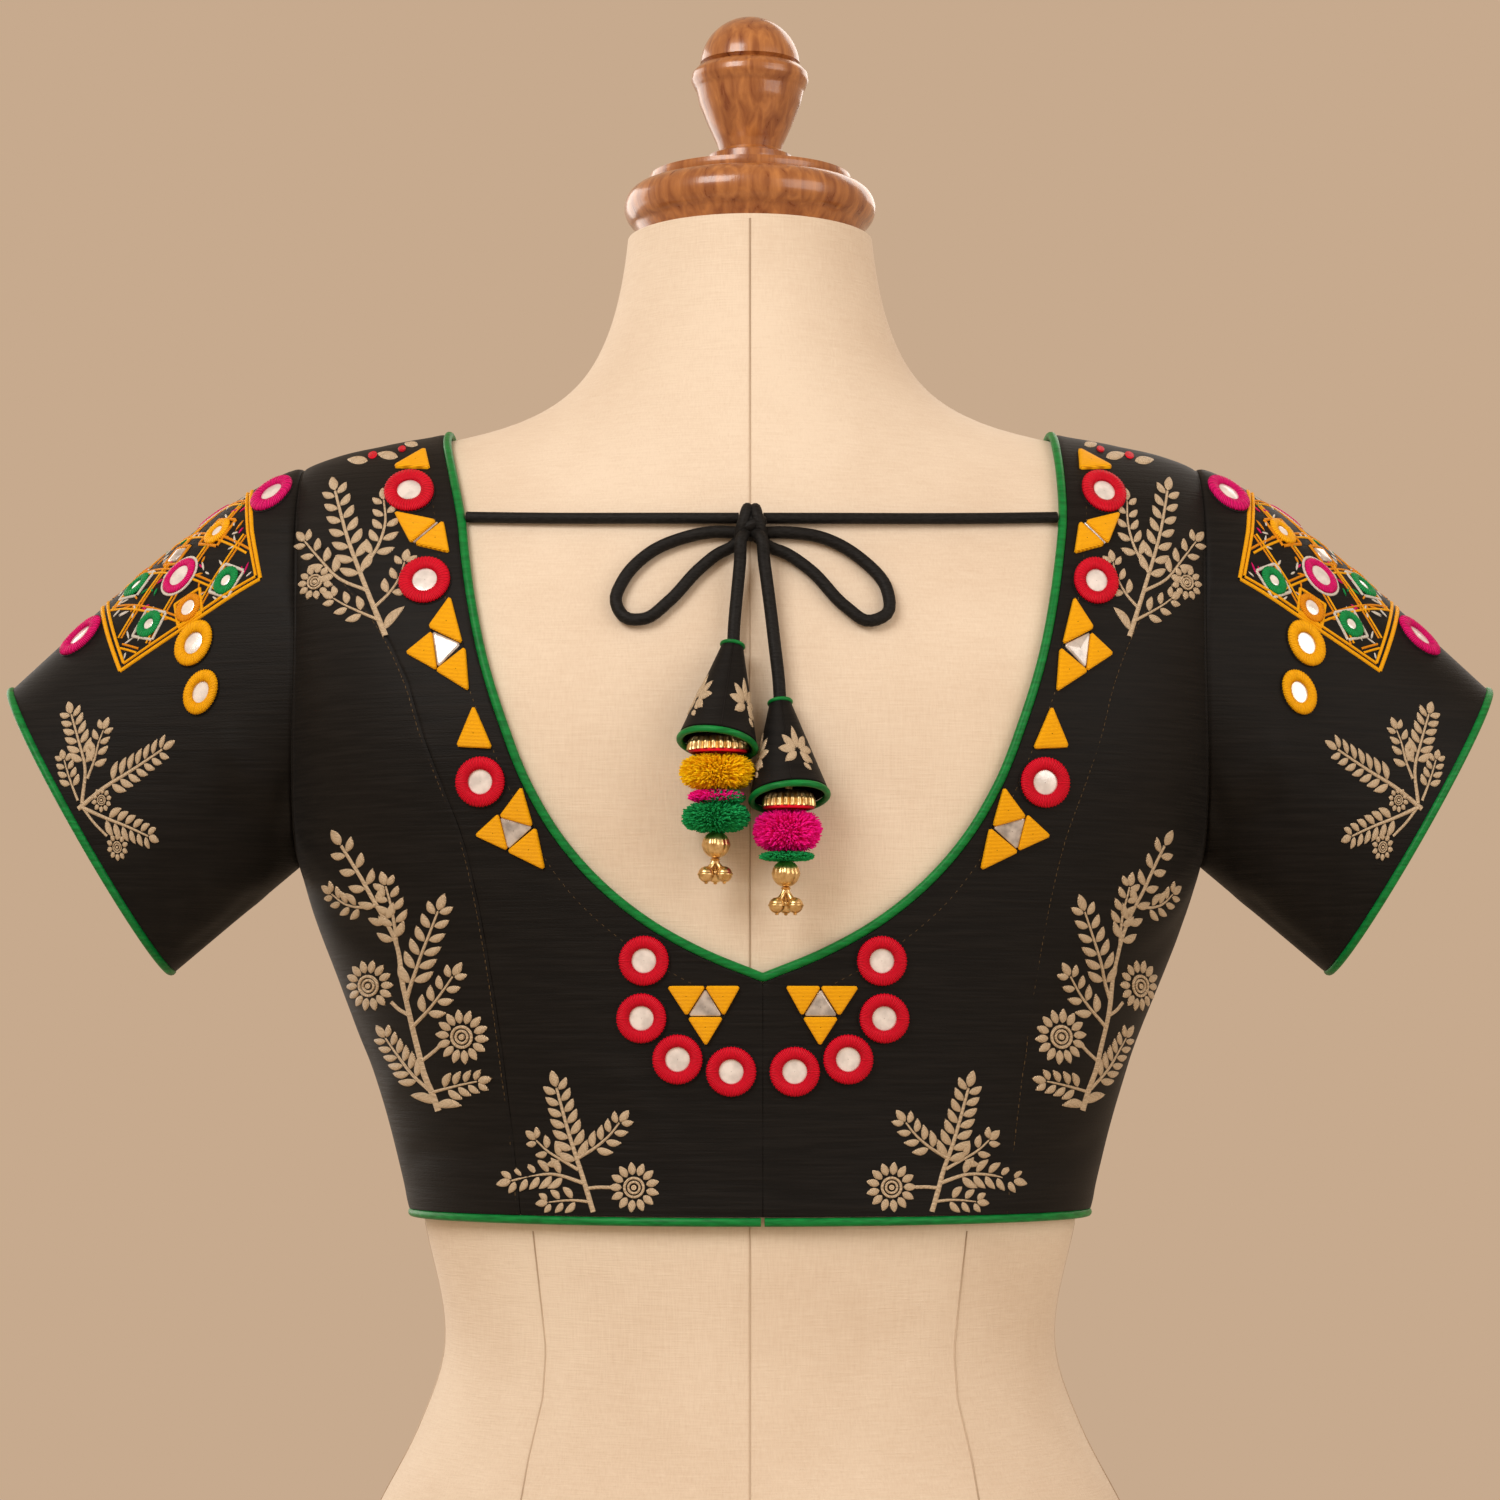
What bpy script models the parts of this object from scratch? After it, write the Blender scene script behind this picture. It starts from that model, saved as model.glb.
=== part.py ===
"""A silk saree blouse on a limbless dress form, back to -Y, standing on Z = 0.

Lengths in this file are millimetres; meshes are made in metres through MM.
"""

import math

import bmesh
import bpy
import numpy as np
from mathutils import Vector
from mathutils.geometry import delaunay_2d_cdt

MM = 0.001

# Driving sizes of the cloth
WALL = 1.5            # thickness of every cloth wall
SEAM = 0.3            # gap between two pieces at a seam
PIPE = 1.7            # radius of the bound edges
V_GAP = 1.2           # from the V point's middle to either end of the neck's bound edge
EDGE_GAP = 0.6        # between a panel and its bound edge, both of straight stretches
HEM_PIPE = 239.6      # height of the hem's bound edge
HEM = HEM_PIPE + PIPE + SEAM
SKEW = 4.8            # the back's centre line stands this far to +X
SKEW_SIDE = 182.0     # and the shift fades to nothing at this half width
SKEW_TOP = 556.0      # and at this height

# The general figure: one row for each section of the trunk
#   height, half width, back depth, front depth, plan exponent
TRUNK = (
    (-20, 166, 92, 80, 2.4),
    (0, 169, 97, 83, 2.4),
    (45, 172, 110, 90, 2.35),
    (85, 164, 108, 95, 2.3),
    (121, 149, 99, 96, 2.25),
    (155, 131, 86, 91, 2.2),
    (182, 121, 79, 87, 2.2),
    (234, 129, 81, 92, 2.3),
    (300, 149, 92, 100, 2.6),
    (374, 177, 102, 102, 3.4),
    (420, 187, 105, 99, 4.2),
    (470, 193, 103, 92, 4.7),
    (520, 197, 95, 80, 5.2),
    (560, 198, 86, 68, 5.2),
    (640, 198, 80, 60, 5.2),
)
#   height, half width, half depth, centre's Y
NECK = (
    (440, 66, 66, -4),
    (520, 60, 60, -6),
    (580, 52.5, 55, -7),
    (640, 48.5, 52, -7),
    (660, 48, 51.5, -7),
)
NECK_BLEND = 96.0     # how widely neck and shoulders run into each other
ROUND_FROM = 400.0    # above this height the trunk rounds over to the shoulder ridge
RIDGE_TOP, RIDGE_FALL, RIDGE_HOLLOW = 566.0, 0.135, 0.00005  # the ridge over the side: level, slope, curve
SHOULDER_INSIDE = 480.0  # a height inside the shoulder, from which its ridge is read
CORNER = 0.93         # 1 would give the shoulder's end a sharp corner
BUST_RISE, BUST_SIDE, BUST_HEIGHT, BUST_WIDE, BUST_TALL = 23.0, 80.0, 364.0, 64.0, 54.0
NECK_TOP = 632.0
FORM_ROUND = 32       # sides of the form's body

# Clearance between figure and cloth
CLEAR = 1.8
CLEAR_RIDGE = 1.5     # on the shoulder ridge, where the blouse hangs
HEM_SLACK = 1.5       # more at the hem
FRONT_SLACK = 2.6     # more over the front

# Half patterns, as sides from the centre line and heights
NECK_EDGE = (
    (0, 333), (23, 342.5), (41, 352.5), (60, 367.5), (75, 384.5), (87, 404.5),
    (96.5, 428), (104, 451), (109.5, 475), (112.5, 492), (115, 509),
)
NECK_OVER = ((117.5, -48), (119.8, -24), (120, 0), (119.5, 24), (117.5, 46))  # side, lean over the ridge
FRONT_EDGE = ((114, 505), (106, 480), (92, 456), (70, 437), (38, 424), (0, 419))
PRINCESS = (
    (91.5, HEM), (95.5, 280), (100, 316), (104.5, 345), (108.5, 366), (113, 384),
    (120.5, 404), (127.5, 423), (133, 442), (142.5, 463), (157, 484), (171, 501),
)
FRONT_ARM = (179, 158, 134, 108, 80, 54, 38, 27, 18, 10, 3)  # leans at which the front reads the armhole
PRINCESS_ARM = -44.0  # lean from the vertical at which the princess seam meets the armhole

# Armholes and sleeves
ARM_HEIGHT, UNDERARM = 456.0, 369.0
ARM_SIDE, ARM_SIDE_ENDS = 177.0, 3.0
CUFF_CENTRE = (269.0, 8.0, 391.7)
CUFF_HALF, CUFF_DEPTH = 66.5, 40.0
CUFF_LEAN = math.radians(60.0)  # of the cuff's plane, from level
SLEEVE_CROWN = 8.0    # how far the top of the sleeve bows out
SLEEVE_LENGTH, SLEEVE_GIRTH = 118.0, 400.0  # of the flat sleeve in which its rings are drawn
SLEEVE_GRID = (24, 9)  # faces round a sleeve, rows along it

# Applique, on the half pattern: rings by centre, triangles by corners
RING_OUT, RING_TOP, RING_LIP, RING_MIRROR = 9.5, 8.3, 5.6, 4.5
RING_RISE, MIRROR_RISE, PATCH_RISE = 1.9, 0.6, 1.2
RING_SIDES = 10
CLEAR_OF_PATCH = 3.2  # the panel's own points stay this far from an applique's outline
RINGS = (
    (136, 521.5), (128.5, 483), (106, 405), (44.3, 337.7), (45.2, 316.2), (31.7, 300.8), (11.8, 296.2),
)
#   corner a, corner b, corner c, each as side, height
TRIANGLES = (
    (141.5, 533.4, 130.5, 541, 128.8, 532.2),
    (140.5, 511.5, 126.5, 507.5, 134.5, 499.5),
    (123.4, 506.6, 132.2, 498.2, 120.8, 494.8),
    (119, 475, 125.7, 464.3, 114.3, 458.3),
    (125.3, 461.5, 133.4, 454.4, 123.3, 448),
    (112.9, 455, 122.4, 447.2, 111.4, 440),
    (108.8, 432.4, 114.4, 418.8, 102.4, 418),
    (90.6, 402, 98, 392.2, 86.8, 388.8),
    (99.4, 392.2, 107.3, 385.2, 96.3, 380),
    (85.3, 386.8, 94.9, 379, 82.3, 372.7),
    (34.8, 327.6, 22.2, 327.6, 28.4, 317.8),
    (20.8, 327.6, 9.2, 327.6, 14.6, 317.8),
    (27.2, 316, 15.6, 316, 21.2, 306.6),
)
#   rings on a sleeve: turn round the sleeve from its top (back is negative), share of its length, relative size
SLEEVE_RINGS = ((-17.5, 0.09, 0.86), (-21.0, 0.75, 0.92), (-59.0, 0.38, 0.90), (-77.5, 0.39, 0.90))

# Ties, bow and tassels (latkans)
TIE_R, LOOP_R = 2.15, 2.4
KNOT = (0.4, 503.4, 6.3, 8.0, 5.0)  # X, height, half width, half height, half depth
TIE_HEIGHT = 506.6
LOOP_LEFT = (
    (-5.75, 501.2), (-15.5, 501.0), (-24, 499.3), (-38, 493.3), (-48.4, 482), (-51, 474),
    (-47.3, 467.4), (-39.7, 466.9), (-31.1, 473.3), (-19, 486.6), (-12, 492.4), (-6.6, 495.2),
)
LOOP_RIGHT = (
    (6.9, 501.0), (16, 500.8), (27, 499.2), (42, 491), (52.2, 478.2), (52.3, 469.4),
    (44.8, 466), (36.2, 471.6), (22.8, 486), (13.5, 492.6), (7.2, 495.2),
)
END_LEFT = ((-3.0, 497.95, 8.6), (-3.8, 488, 7.2), (-4.9, 476, 5.4), (-6.0, 463, 5.2), (-6.3, 456.2, 5.4))
END_RIGHT = (
    (3.9, 498.35, 8.6), (5.4, 488, 7.2), (7.6, 471, 5.4), (9.4, 455, 5.2), (10.9, 441, 5.2),
    (11.2, 435.4, 5.4),
)
HANG_Y = -123.6       # the tassels hang in this plane, just off the form
CONE_TOP_R, CONE_END_R, CONE_WALL, CONE_ROOF = 3.9, 14.6, 1.2, 2.2
RIM_R = 1.25
STEM_R, STEM_RISE = 1.2, 20.3  # of a tassel cap, up inside the cloth cone to its wall
LOCKS = (8, 6)        # meridians and parallels of a pompom, one lock on each face


def smooth_rows(table, at):
    """Each column of the table, read smoothly at the values of its first column."""
    rows = np.array(table, float)
    known, values = rows[:, 0], rows[:, 1:]
    slopes = np.gradient(values, known, axis=0)
    at = np.clip(at, known[0], known[-1])
    i = np.clip(np.searchsorted(known, at, side="right") - 1, 0, len(known) - 2)
    step = (known[i + 1] - known[i])[..., None]
    t = (at - known[i])[..., None] / step
    start = (2 * t**3 - 3 * t**2 + 1) * values[i] + (t**3 - 2 * t**2 + t) * step * slopes[i]
    end = (3 * t**2 - 2 * t**3) * values[i + 1] + (t**3 - t**2) * step * slopes[i + 1]
    return start + end


def ease(t):
    t = np.clip(t, 0.0, 1.0)
    return t * t * (3 - 2 * t)


def trunk(p):
    """Under 0 inside the trunk of the figure, over 0 outside."""
    x, y, z = p[..., 0], p[..., 1], p[..., 2]
    row = smooth_rows(TRUNK, z)
    half, back, front, power = (row[..., i] for i in range(4))
    sides = np.exp(-(((x - BUST_SIDE) / BUST_WIDE) ** 2)) + np.exp(-(((x + BUST_SIDE) / BUST_WIDE) ** 2))
    bust = BUST_RISE * sides * np.exp(-(((z - BUST_HEIGHT) / BUST_TALL) ** 2))
    depth = np.where(y < 0, back, front + bust)
    side = np.minimum(np.abs(x) / half, 1.6) ** power
    ridge = RIDGE_TOP - RIDGE_FALL * np.abs(x) + RIDGE_HOLLOW * x * x
    top = (np.maximum(z - ROUND_FROM, 0) / (ridge - ROUND_FROM)) ** 2
    return (y / depth) ** 2 + side + top - CORNER * np.minimum(side, 1) * np.minimum(top, 1) - 1


def slope_of(field, p, step):
    return np.stack([field(p + step * e) - field(p - step * e) for e in np.eye(3)], -1) / (2 * step)


def figure(p):
    """Distance to the skin of the figure, in millimetres near it."""
    body = trunk(p) / np.maximum(np.linalg.norm(slope_of(trunk, p, 0.4), axis=-1), 1e-9)
    half, deep, centre = (smooth_rows(NECK, p[..., 2])[..., i] for i in range(3))
    reach = np.sqrt((p[..., 0] / half) ** 2 + ((p[..., 1] - centre) / deep) ** 2)
    column = (reach - 1) * np.minimum(half, deep)
    near = np.maximum(NECK_BLEND - np.abs(body - column), 0) / NECK_BLEND
    return np.minimum(body, column) - near**3 * NECK_BLEND / 6


def cloth(p):
    """Distance to the inner face of the cloth."""
    z = p[..., 2]
    clear = CLEAR - (CLEAR - CLEAR_RIDGE) * ease((z - 515) / 20) + HEM_SLACK * ease((290 - z) / 50)
    return figure(p) - clear - FRONT_SLACK * ease(p[..., 1] / 25) * ease((172 - abs(p[..., 0])) / 30)


def normal_of(field, p):
    n = slope_of(field, p, 0.5)
    return n / np.maximum(np.linalg.norm(n, axis=-1, keepdims=True), 1e-9)


def cast(field, origin, way, out=0.0, far=260.0):
    """Where a line from inside the figure reaches the level `out` of the field."""
    way = np.asarray(way, float)
    origin = np.broadcast_to(np.asarray(origin, float), np.broadcast_shapes(np.shape(origin), way.shape))
    way = np.broadcast_to(way / np.linalg.norm(way, axis=-1, keepdims=True), origin.shape)
    steps = np.linspace(0, far, 66)
    level = field(origin[..., None, :] + way[..., None, :] * steps[:, None]) - out
    first = np.argmax(level > 0, axis=-1)
    low, high = steps[np.maximum(first - 1, 0)], steps[first]
    for _ in range(18):
        middle = (low + high) / 2
        inside = field(origin + way * middle[..., None]) < out
        low, high = np.where(inside, middle, low), np.where(inside, high, middle)
    return origin + way * ((low + high) / 2)[..., None]


def seat(field, p, out=0.0, times=6):
    """The points moved onto the level `out` of the field, along its slope."""
    p = np.array(p, float)
    for _ in range(times):
        p = p - (field(p) - out)[..., None] * normal_of(field, p)
    return p


def skewed(side, height, sign):
    """X of a place on the back's half pattern; sign is -1 on the left and 1 on the right."""
    fade = ease((SKEW_SIDE - np.abs(side)) / 70) * ease((SKEW_TOP - height) / 50)
    return sign * side + SKEW * fade


def on_back(side, height, sign, field=cloth, out=0.0):
    side, height = np.asarray(side, float), np.asarray(height, float)
    x = skewed(side, height, sign)
    return cast(field, np.stack([x, 0 * x, height + 0 * x], -1), np.array([0.0, -1.0, 0.0]), out)


def on_front(side, height, sign):
    side, height = np.asarray(side, float), np.asarray(height, float)
    return cast(cloth, np.stack([sign * side, 0 * side, height], -1), np.array([0.0, 1.0, 0.0]))


def over_ridge(side, lean, sign):
    """A place on the shoulder at a lean from the vertical, towards the back where it is negative."""
    side, lean = np.asarray(side, float), np.radians(np.asarray(lean, float))
    start = np.stack([sign * side, 0 * side, 0 * side + SHOULDER_INSIDE], -1)
    return cast(cloth, start, np.stack([0 * lean, np.sin(lean), np.cos(lean)], -1))


def resample(points, count):
    """A smooth curve through the points, read at even steps of its length."""
    points = np.asarray(points, float)
    run = np.concatenate([[0], np.cumsum(np.linalg.norm(np.diff(points, axis=0), axis=1))])
    fine = np.linspace(0, run[-1], 400)
    table = np.column_stack([run, points])
    curve = smooth_rows(table, fine)
    length = np.concatenate([[0], np.cumsum(np.linalg.norm(np.diff(curve, axis=0), axis=1))])
    at = np.interp(np.linspace(0, length[-1], count), length, fine)
    return smooth_rows(table, at)


def shifted(path, by):
    """A path on the cloth moved sideways within it, to the left of its run as seen from outside."""
    along = np.gradient(path, axis=0)
    side = np.cross(normal_of(cloth, path), along)
    return seat(cloth, path + by * side / np.linalg.norm(side, axis=1, keepdims=True))


def neck_line(sign):
    """The neck opening's edge on one side, from the V point over the shoulder to the front's middle."""
    back = on_back(*np.transpose(NECK_EDGE), sign)
    sides, leans = np.transpose(NECK_OVER)
    heights = over_ridge(sides, leans, sign)[:, 2]
    sides = np.where(leans < 0, sign * skewed(sides, heights, sign), sides)
    over = over_ridge(sides, leans, sign)
    front = on_front(*np.transpose(FRONT_EDGE), sign)
    return np.concatenate([back, over, front])


def arm_ring(lean, sign):
    """A place on the armhole's edge, at a lean from its top; the back is negative."""
    lean = np.radians(np.asarray(lean, float))
    side = ARM_SIDE + ARM_SIDE_ENDS * np.cos(lean) ** 2
    start = np.stack([sign * side, 0 * side, 0 * side + ARM_HEIGHT], -1)
    return cast(cloth, start, np.stack([0 * lean, np.sin(lean), np.cos(lean)], -1))


def patch(bottom, top, left, right):
    """A grid between four edges (Coons), rows from bottom to top, seated on the cloth's inner face."""
    u = np.linspace(0, 1, len(bottom))[None, :, None]
    v = np.linspace(0, 1, len(left))[:, None, None]
    grid = (1 - v) * bottom[None] + v * top[None] + (1 - u) * left[:, None] + u * right[:, None]
    grid = grid - (1 - v) * ((1 - u) * bottom[0] + u * bottom[-1]) - v * ((1 - u) * top[0] + u * top[-1])
    inner = seat(cloth, grid)
    inner[0], inner[-1], inner[:, 0], inner[:, -1] = bottom, top, left, right
    return inner


def outward(points):
    return points + WALL * normal_of(cloth, points)


def grid_faces(rows, columns, base=0, closed=False):
    width = columns if closed else columns - 1
    return [
        (base + r * columns + c, base + r * columns + (c + 1) % columns,
         base + (r + 1) * columns + (c + 1) % columns, base + (r + 1) * columns + c)
        for r in range(rows - 1) for c in range(width)
    ]


def rim_loop(rows, columns):
    bottom = list(range(columns))
    right = [r * columns + columns - 1 for r in range(1, rows)]
    top = [(rows - 1) * columns + c for c in range(columns - 2, -1, -1)]
    left = [r * columns for r in range(rows - 2, 0, -1)]
    return bottom + right + top + left


def add_mesh(name, points, faces, material):
    """A closed mesh in metres from points in millimetres, its faces turned out."""
    mesh = bpy.data.meshes.new(name)
    mesh.from_pydata((np.asarray(points) * MM).tolist(), [], [list(f) for f in faces])
    tool = bmesh.new()
    tool.from_mesh(mesh)
    bmesh.ops.remove_doubles(tool, verts=tool.verts, dist=1e-7)
    bmesh.ops.recalc_face_normals(tool, faces=tool.faces)
    if tool.calc_volume(signed=True) < 0:
        bmesh.ops.reverse_faces(tool, faces=tool.faces)
    tool.to_mesh(mesh)
    tool.free()
    mesh.shade_smooth()
    mesh.set_sharp_from_angle(angle=math.radians(40))
    mesh.materials.append(material)
    return place(bpy.data.objects.new(name, mesh))


def place(obj):
    PART.objects.link(obj)
    obj.parent = STAND
    return obj


def material(name, colour, roughness, metallic=0.0):
    made = bpy.data.materials.new(name)
    made.use_nodes = True
    shader = made.node_tree.nodes["Principled BSDF"]
    shader.inputs["Base Color"].default_value = (*colour, 1)
    shader.inputs["Roughness"].default_value = roughness
    shader.inputs["Metallic"].default_value = metallic
    return made


def circle_of(centre, radius, sides=RING_SIDES):
    turn = [2 * math.pi * (i + 0.5) / sides for i in range(sides)]
    return [(centre[0] + radius * math.cos(a), centre[1] + radius * math.sin(a)) for a in turn]


def ring_contours(centre, size=1.0):
    """A mirror ring as closed outlines, each with its rise."""
    radii = ((RING_OUT, 0.0), (RING_TOP, RING_RISE), (RING_LIP, RING_RISE), (RING_MIRROR, MIRROR_RISE))
    return [(circle_of(centre, radius * size), rise) for radius, rise in radii]


def back_ring(side, height, sign):
    """The outlines of a mirror ring on the back, each with its rise."""
    centre = on_back(side, height, sign, cloth, WALL)
    out = normal_of(cloth, centre)
    across = np.cross(out, (0.0, 0.0, 1.0))
    across /= np.linalg.norm(across)
    up = np.cross(across, out)
    rings = []
    for outline, rise in ring_contours((0.0, 0.0)):
        a, b = np.transpose(outline)
        rings.append((seat(cloth, centre + a[:, None] * across + b[:, None] * up, WALL), rise))
    return rings


def back_triangle(corners, sign, inset=0.78):
    """The outlines of a padded triangle on the back, each with its rise."""
    corners = np.array(corners, float).reshape(3, 2)
    middle = corners.mean(axis=0)
    outlines = ((corners, 0.0), (middle + inset * (corners - middle), PATCH_RISE))
    return [(on_back(*np.transpose(outline), sign, cloth, WALL), rise) for outline, rise in outlines]


def within(outline, points):
    """Which flat points lie inside a closed flat outline."""
    outline = np.asarray(outline, float)
    inside = np.zeros(len(points), bool)
    for a, b in zip(outline, np.roll(outline, -1, axis=0)):
        crosses = (a[1] > points[:, 1]) != (b[1] > points[:, 1])
        level = (b[0] - a[0]) * (points[:, 1] - a[1]) / (b[1] - a[1] + 1e-12) + a[0]
        inside ^= crosses & (points[:, 0] < level)
    return inside


def away_from(outlines, points, margin):
    """Which flat points lie further than the margin from every outline and outside it."""
    keep = np.ones(len(points), bool)
    for outline in outlines:
        outline = np.array(outline)
        arms = outline - outline.mean(axis=0)
        grown = outline.mean(axis=0) + arms * (1 + margin / np.linalg.norm(arms, axis=1).mean())
        keep &= ~within(grown, points)
    return keep


def raised_skin(flat_rim, flat_inner, features, margin):
    """Triangles of a flat region with outlines in it.

    Returns the kept inner points' indices, the outline points in order, and triangles that index
    rim points first, then the kept inner points, then the outline points."""
    kept = np.nonzero(away_from([contours[0][0] for contours in features], flat_inner, margin))[0]
    flat = list(flat_rim) + list(flat_inner[kept])
    edges, drawn = [], []
    for contours in features:
        for outline, rise in contours:
            first = len(flat)
            flat.extend(outline)
            drawn.extend((point, rise) for point in outline)
            edges.extend((first + i, first + (i + 1) % len(outline)) for i in range(len(outline)))
    rim = [(i, (i + 1) % len(flat_rim)) for i in range(len(flat_rim))]
    made = delaunay_2d_cdt([Vector(p) for p in flat], rim + edges, [], 1, 1e-5, True)
    sources = made[3]
    if any(not ids for ids in sources) or len(sources) != len(flat):
        raise ValueError("the outlines cross or leave the panel")
    faces = [tuple(sources[i][0] for i in face) for face in made[2]]
    flat = np.array([tuple(p) for p in flat])
    middles = flat[np.array(faces)].mean(axis=1)
    return kept, drawn, [face for face, inside in zip(faces, within(flat_rim, middles)) if inside]


def flat_of(p):
    """A plane in which the back, up to the shoulder ridge, has no fold."""
    return np.stack([p[..., 0], p[..., 2] + 0.8 * p[..., 1]], -1)


def panel(name, inner, features=()):
    """A cloth panel: its inner grid, an outer face with the features raised, and a rim."""
    rows, columns = inner.shape[:2]
    points = inner.reshape(-1, 3)
    outer = outward(points)
    rim = rim_loop(rows, columns)
    count = len(points)
    inside = [tuple(reversed(f)) for f in grid_faces(rows, columns)]
    if not features:
        faces = inside + grid_faces(rows, columns, count)
        faces += [(rim[i - 1], rim[i], count + rim[i], count + rim[i - 1]) for i in range(len(rim))]
        return add_mesh(name, np.concatenate([points, outer]), faces, SILK)
    middle = np.setdiff1d(np.arange(count), rim)
    flat = [[(flat_of(places), rise) for places, rise in contours] for contours in features]
    kept, _, triangles = raised_skin(flat_of(outer[rim]), flat_of(outer[middle]), flat, CLEAR_OF_PATCH)
    raised = [
        places + rise * normal_of(cloth, places) for contours in features for places, rise in contours
    ]
    skin = np.concatenate([outer[rim], outer[middle[kept]]] + raised)
    faces = inside + [tuple(count + i for i in face) for face in triangles]
    faces += [(rim[i - 1], rim[i], count + i, count + (i - 1) % len(rim)) for i in range(len(rim))]
    return add_mesh(name, np.concatenate([points, skin]), faces, SILK)


def split(path, shares):
    """The path cut at shares of its length."""
    run = np.concatenate([[0], np.cumsum(np.linalg.norm(np.diff(path, axis=0), axis=1))])
    at = [int(np.argmin(abs(run / run[-1] - share))) for share in shares]
    ends = [0] + at + [len(path) - 1]
    return [path[a:b + 1] for a, b in zip(ends[:-1], ends[1:])]


def joined(*runs):
    return np.concatenate([runs[0]] + [run[1:] for run in runs[1:]])


def back_panels(sign, tag, neck_panel):
    """Centre back and side back of one side. neck_panel runs from the V point to the shoulder ridge."""
    gap = SEAM / 2
    count_low, count_high, arm_rows = 8, 17, 5
    seam = np.concatenate([on_back(*np.transpose(PRINCESS), sign), arm_ring([PRINCESS_ARM], sign)])
    low, high = split(resample(seam, 200), (0.30,))
    seam = joined(resample(low, count_low), resample(high, count_high - arm_rows + 1))
    seam_in, seam_out = shifted(seam, sign * gap), shifted(seam, -sign * gap)
    low_z = np.linspace(HEM, neck_panel[0][2], 9)
    centre = on_back(gap + 0 * low_z, low_z, sign)
    arm_high = arm_ring(np.linspace(PRINCESS_ARM + 0.4, -3, arm_rows), sign)
    shoulder = over_ridge(np.linspace(abs(neck_panel[-1][0]), abs(arm_high[-1][0]), 8), -2.0, sign)
    shoulder[0] = neck_panel[-1]
    shoulder[-1] = arm_high[-1]
    neck_run = resample(neck_panel, count_high)
    right = joined(resample(centre, count_low), neck_run)
    left = joined(seam_in, arm_high)
    across = 8
    hem = on_back(np.linspace(PRINCESS[0][0] - gap, gap, across), HEM, sign)
    hem[0], hem[-1] = left[0], right[0]
    top = resample(shoulder[::-1], across)
    centre_grid = patch(hem, top, left, right)
    features = [back_ring(*ring, sign) for ring in RINGS] + [back_triangle(row, sign) for row in TRIANGLES]
    panel("back_centre_" + tag, centre_grid, features)

    side_seam = side_line(sign, -gap * 1.5)
    low_arm = arm_ring(np.linspace(-179.0, PRINCESS_ARM - 0.4, 9), sign)
    side_seam[-1] = low_arm[0]
    left = resample(side_seam, len(seam_out))
    right = np.concatenate([seam_out[:-1], low_arm[-1:]])
    way = np.linspace(left[0], right[0], 7) * (1, 1, 0)
    around = cast(cloth, (0, 0, HEM), way)
    around[0], around[-1] = left[0], right[0]
    panel("back_side_" + tag, patch(resample(around, 7), resample(low_arm, 7), left, right))


def side_line(sign, gap):
    """The side seam's edge, from the hem to the underarm, moved to the front by the gap."""
    height = np.linspace(HEM, UNDERARM, 9)
    start = np.column_stack([0 * height, 0 * height + gap, height])
    return cast(cloth, start, np.array([sign, 0.0, 0.0]))


def front_panel(necks):
    """The front, one piece from side seam to side seam, in two halves that share the middle column."""
    gap, across = SEAM / 2, 15
    halves = []
    for sign, neck in necks:
        side_seam = side_line(sign, gap * 1.5)
        arm = arm_ring(FRONT_ARM, sign)
        side_seam[-1] = arm[0]
        left = joined(resample(side_seam, 8), arm)
        rows = len(left)
        middle = on_front(np.zeros(rows), np.linspace(HEM, neck[-1][2], rows), sign)
        middle[-1] = neck[-1]
        shoulder = over_ridge(np.linspace(abs(arm[-1][0]), abs(neck[0][0]), 5), 2.0, sign)
        shoulder[0], shoulder[-1] = arm[-1], neck[0]
        top = joined(resample(shoulder, 4), resample(neck, across - 3))
        turns = np.linspace(0, math.pi / 2, 30)
        way = np.column_stack([sign * np.cos(turns), np.sin(turns), 0 * turns])
        hem = resample(cast(cloth, (0, 0, HEM), way), across)
        hem[0], hem[-1] = left[0], middle[0]
        halves.append(patch(hem, top, left, middle))
    whole = np.concatenate([halves[0], halves[1][:, ::-1][:, 1:]], axis=1)
    panel("front", whole)


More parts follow.
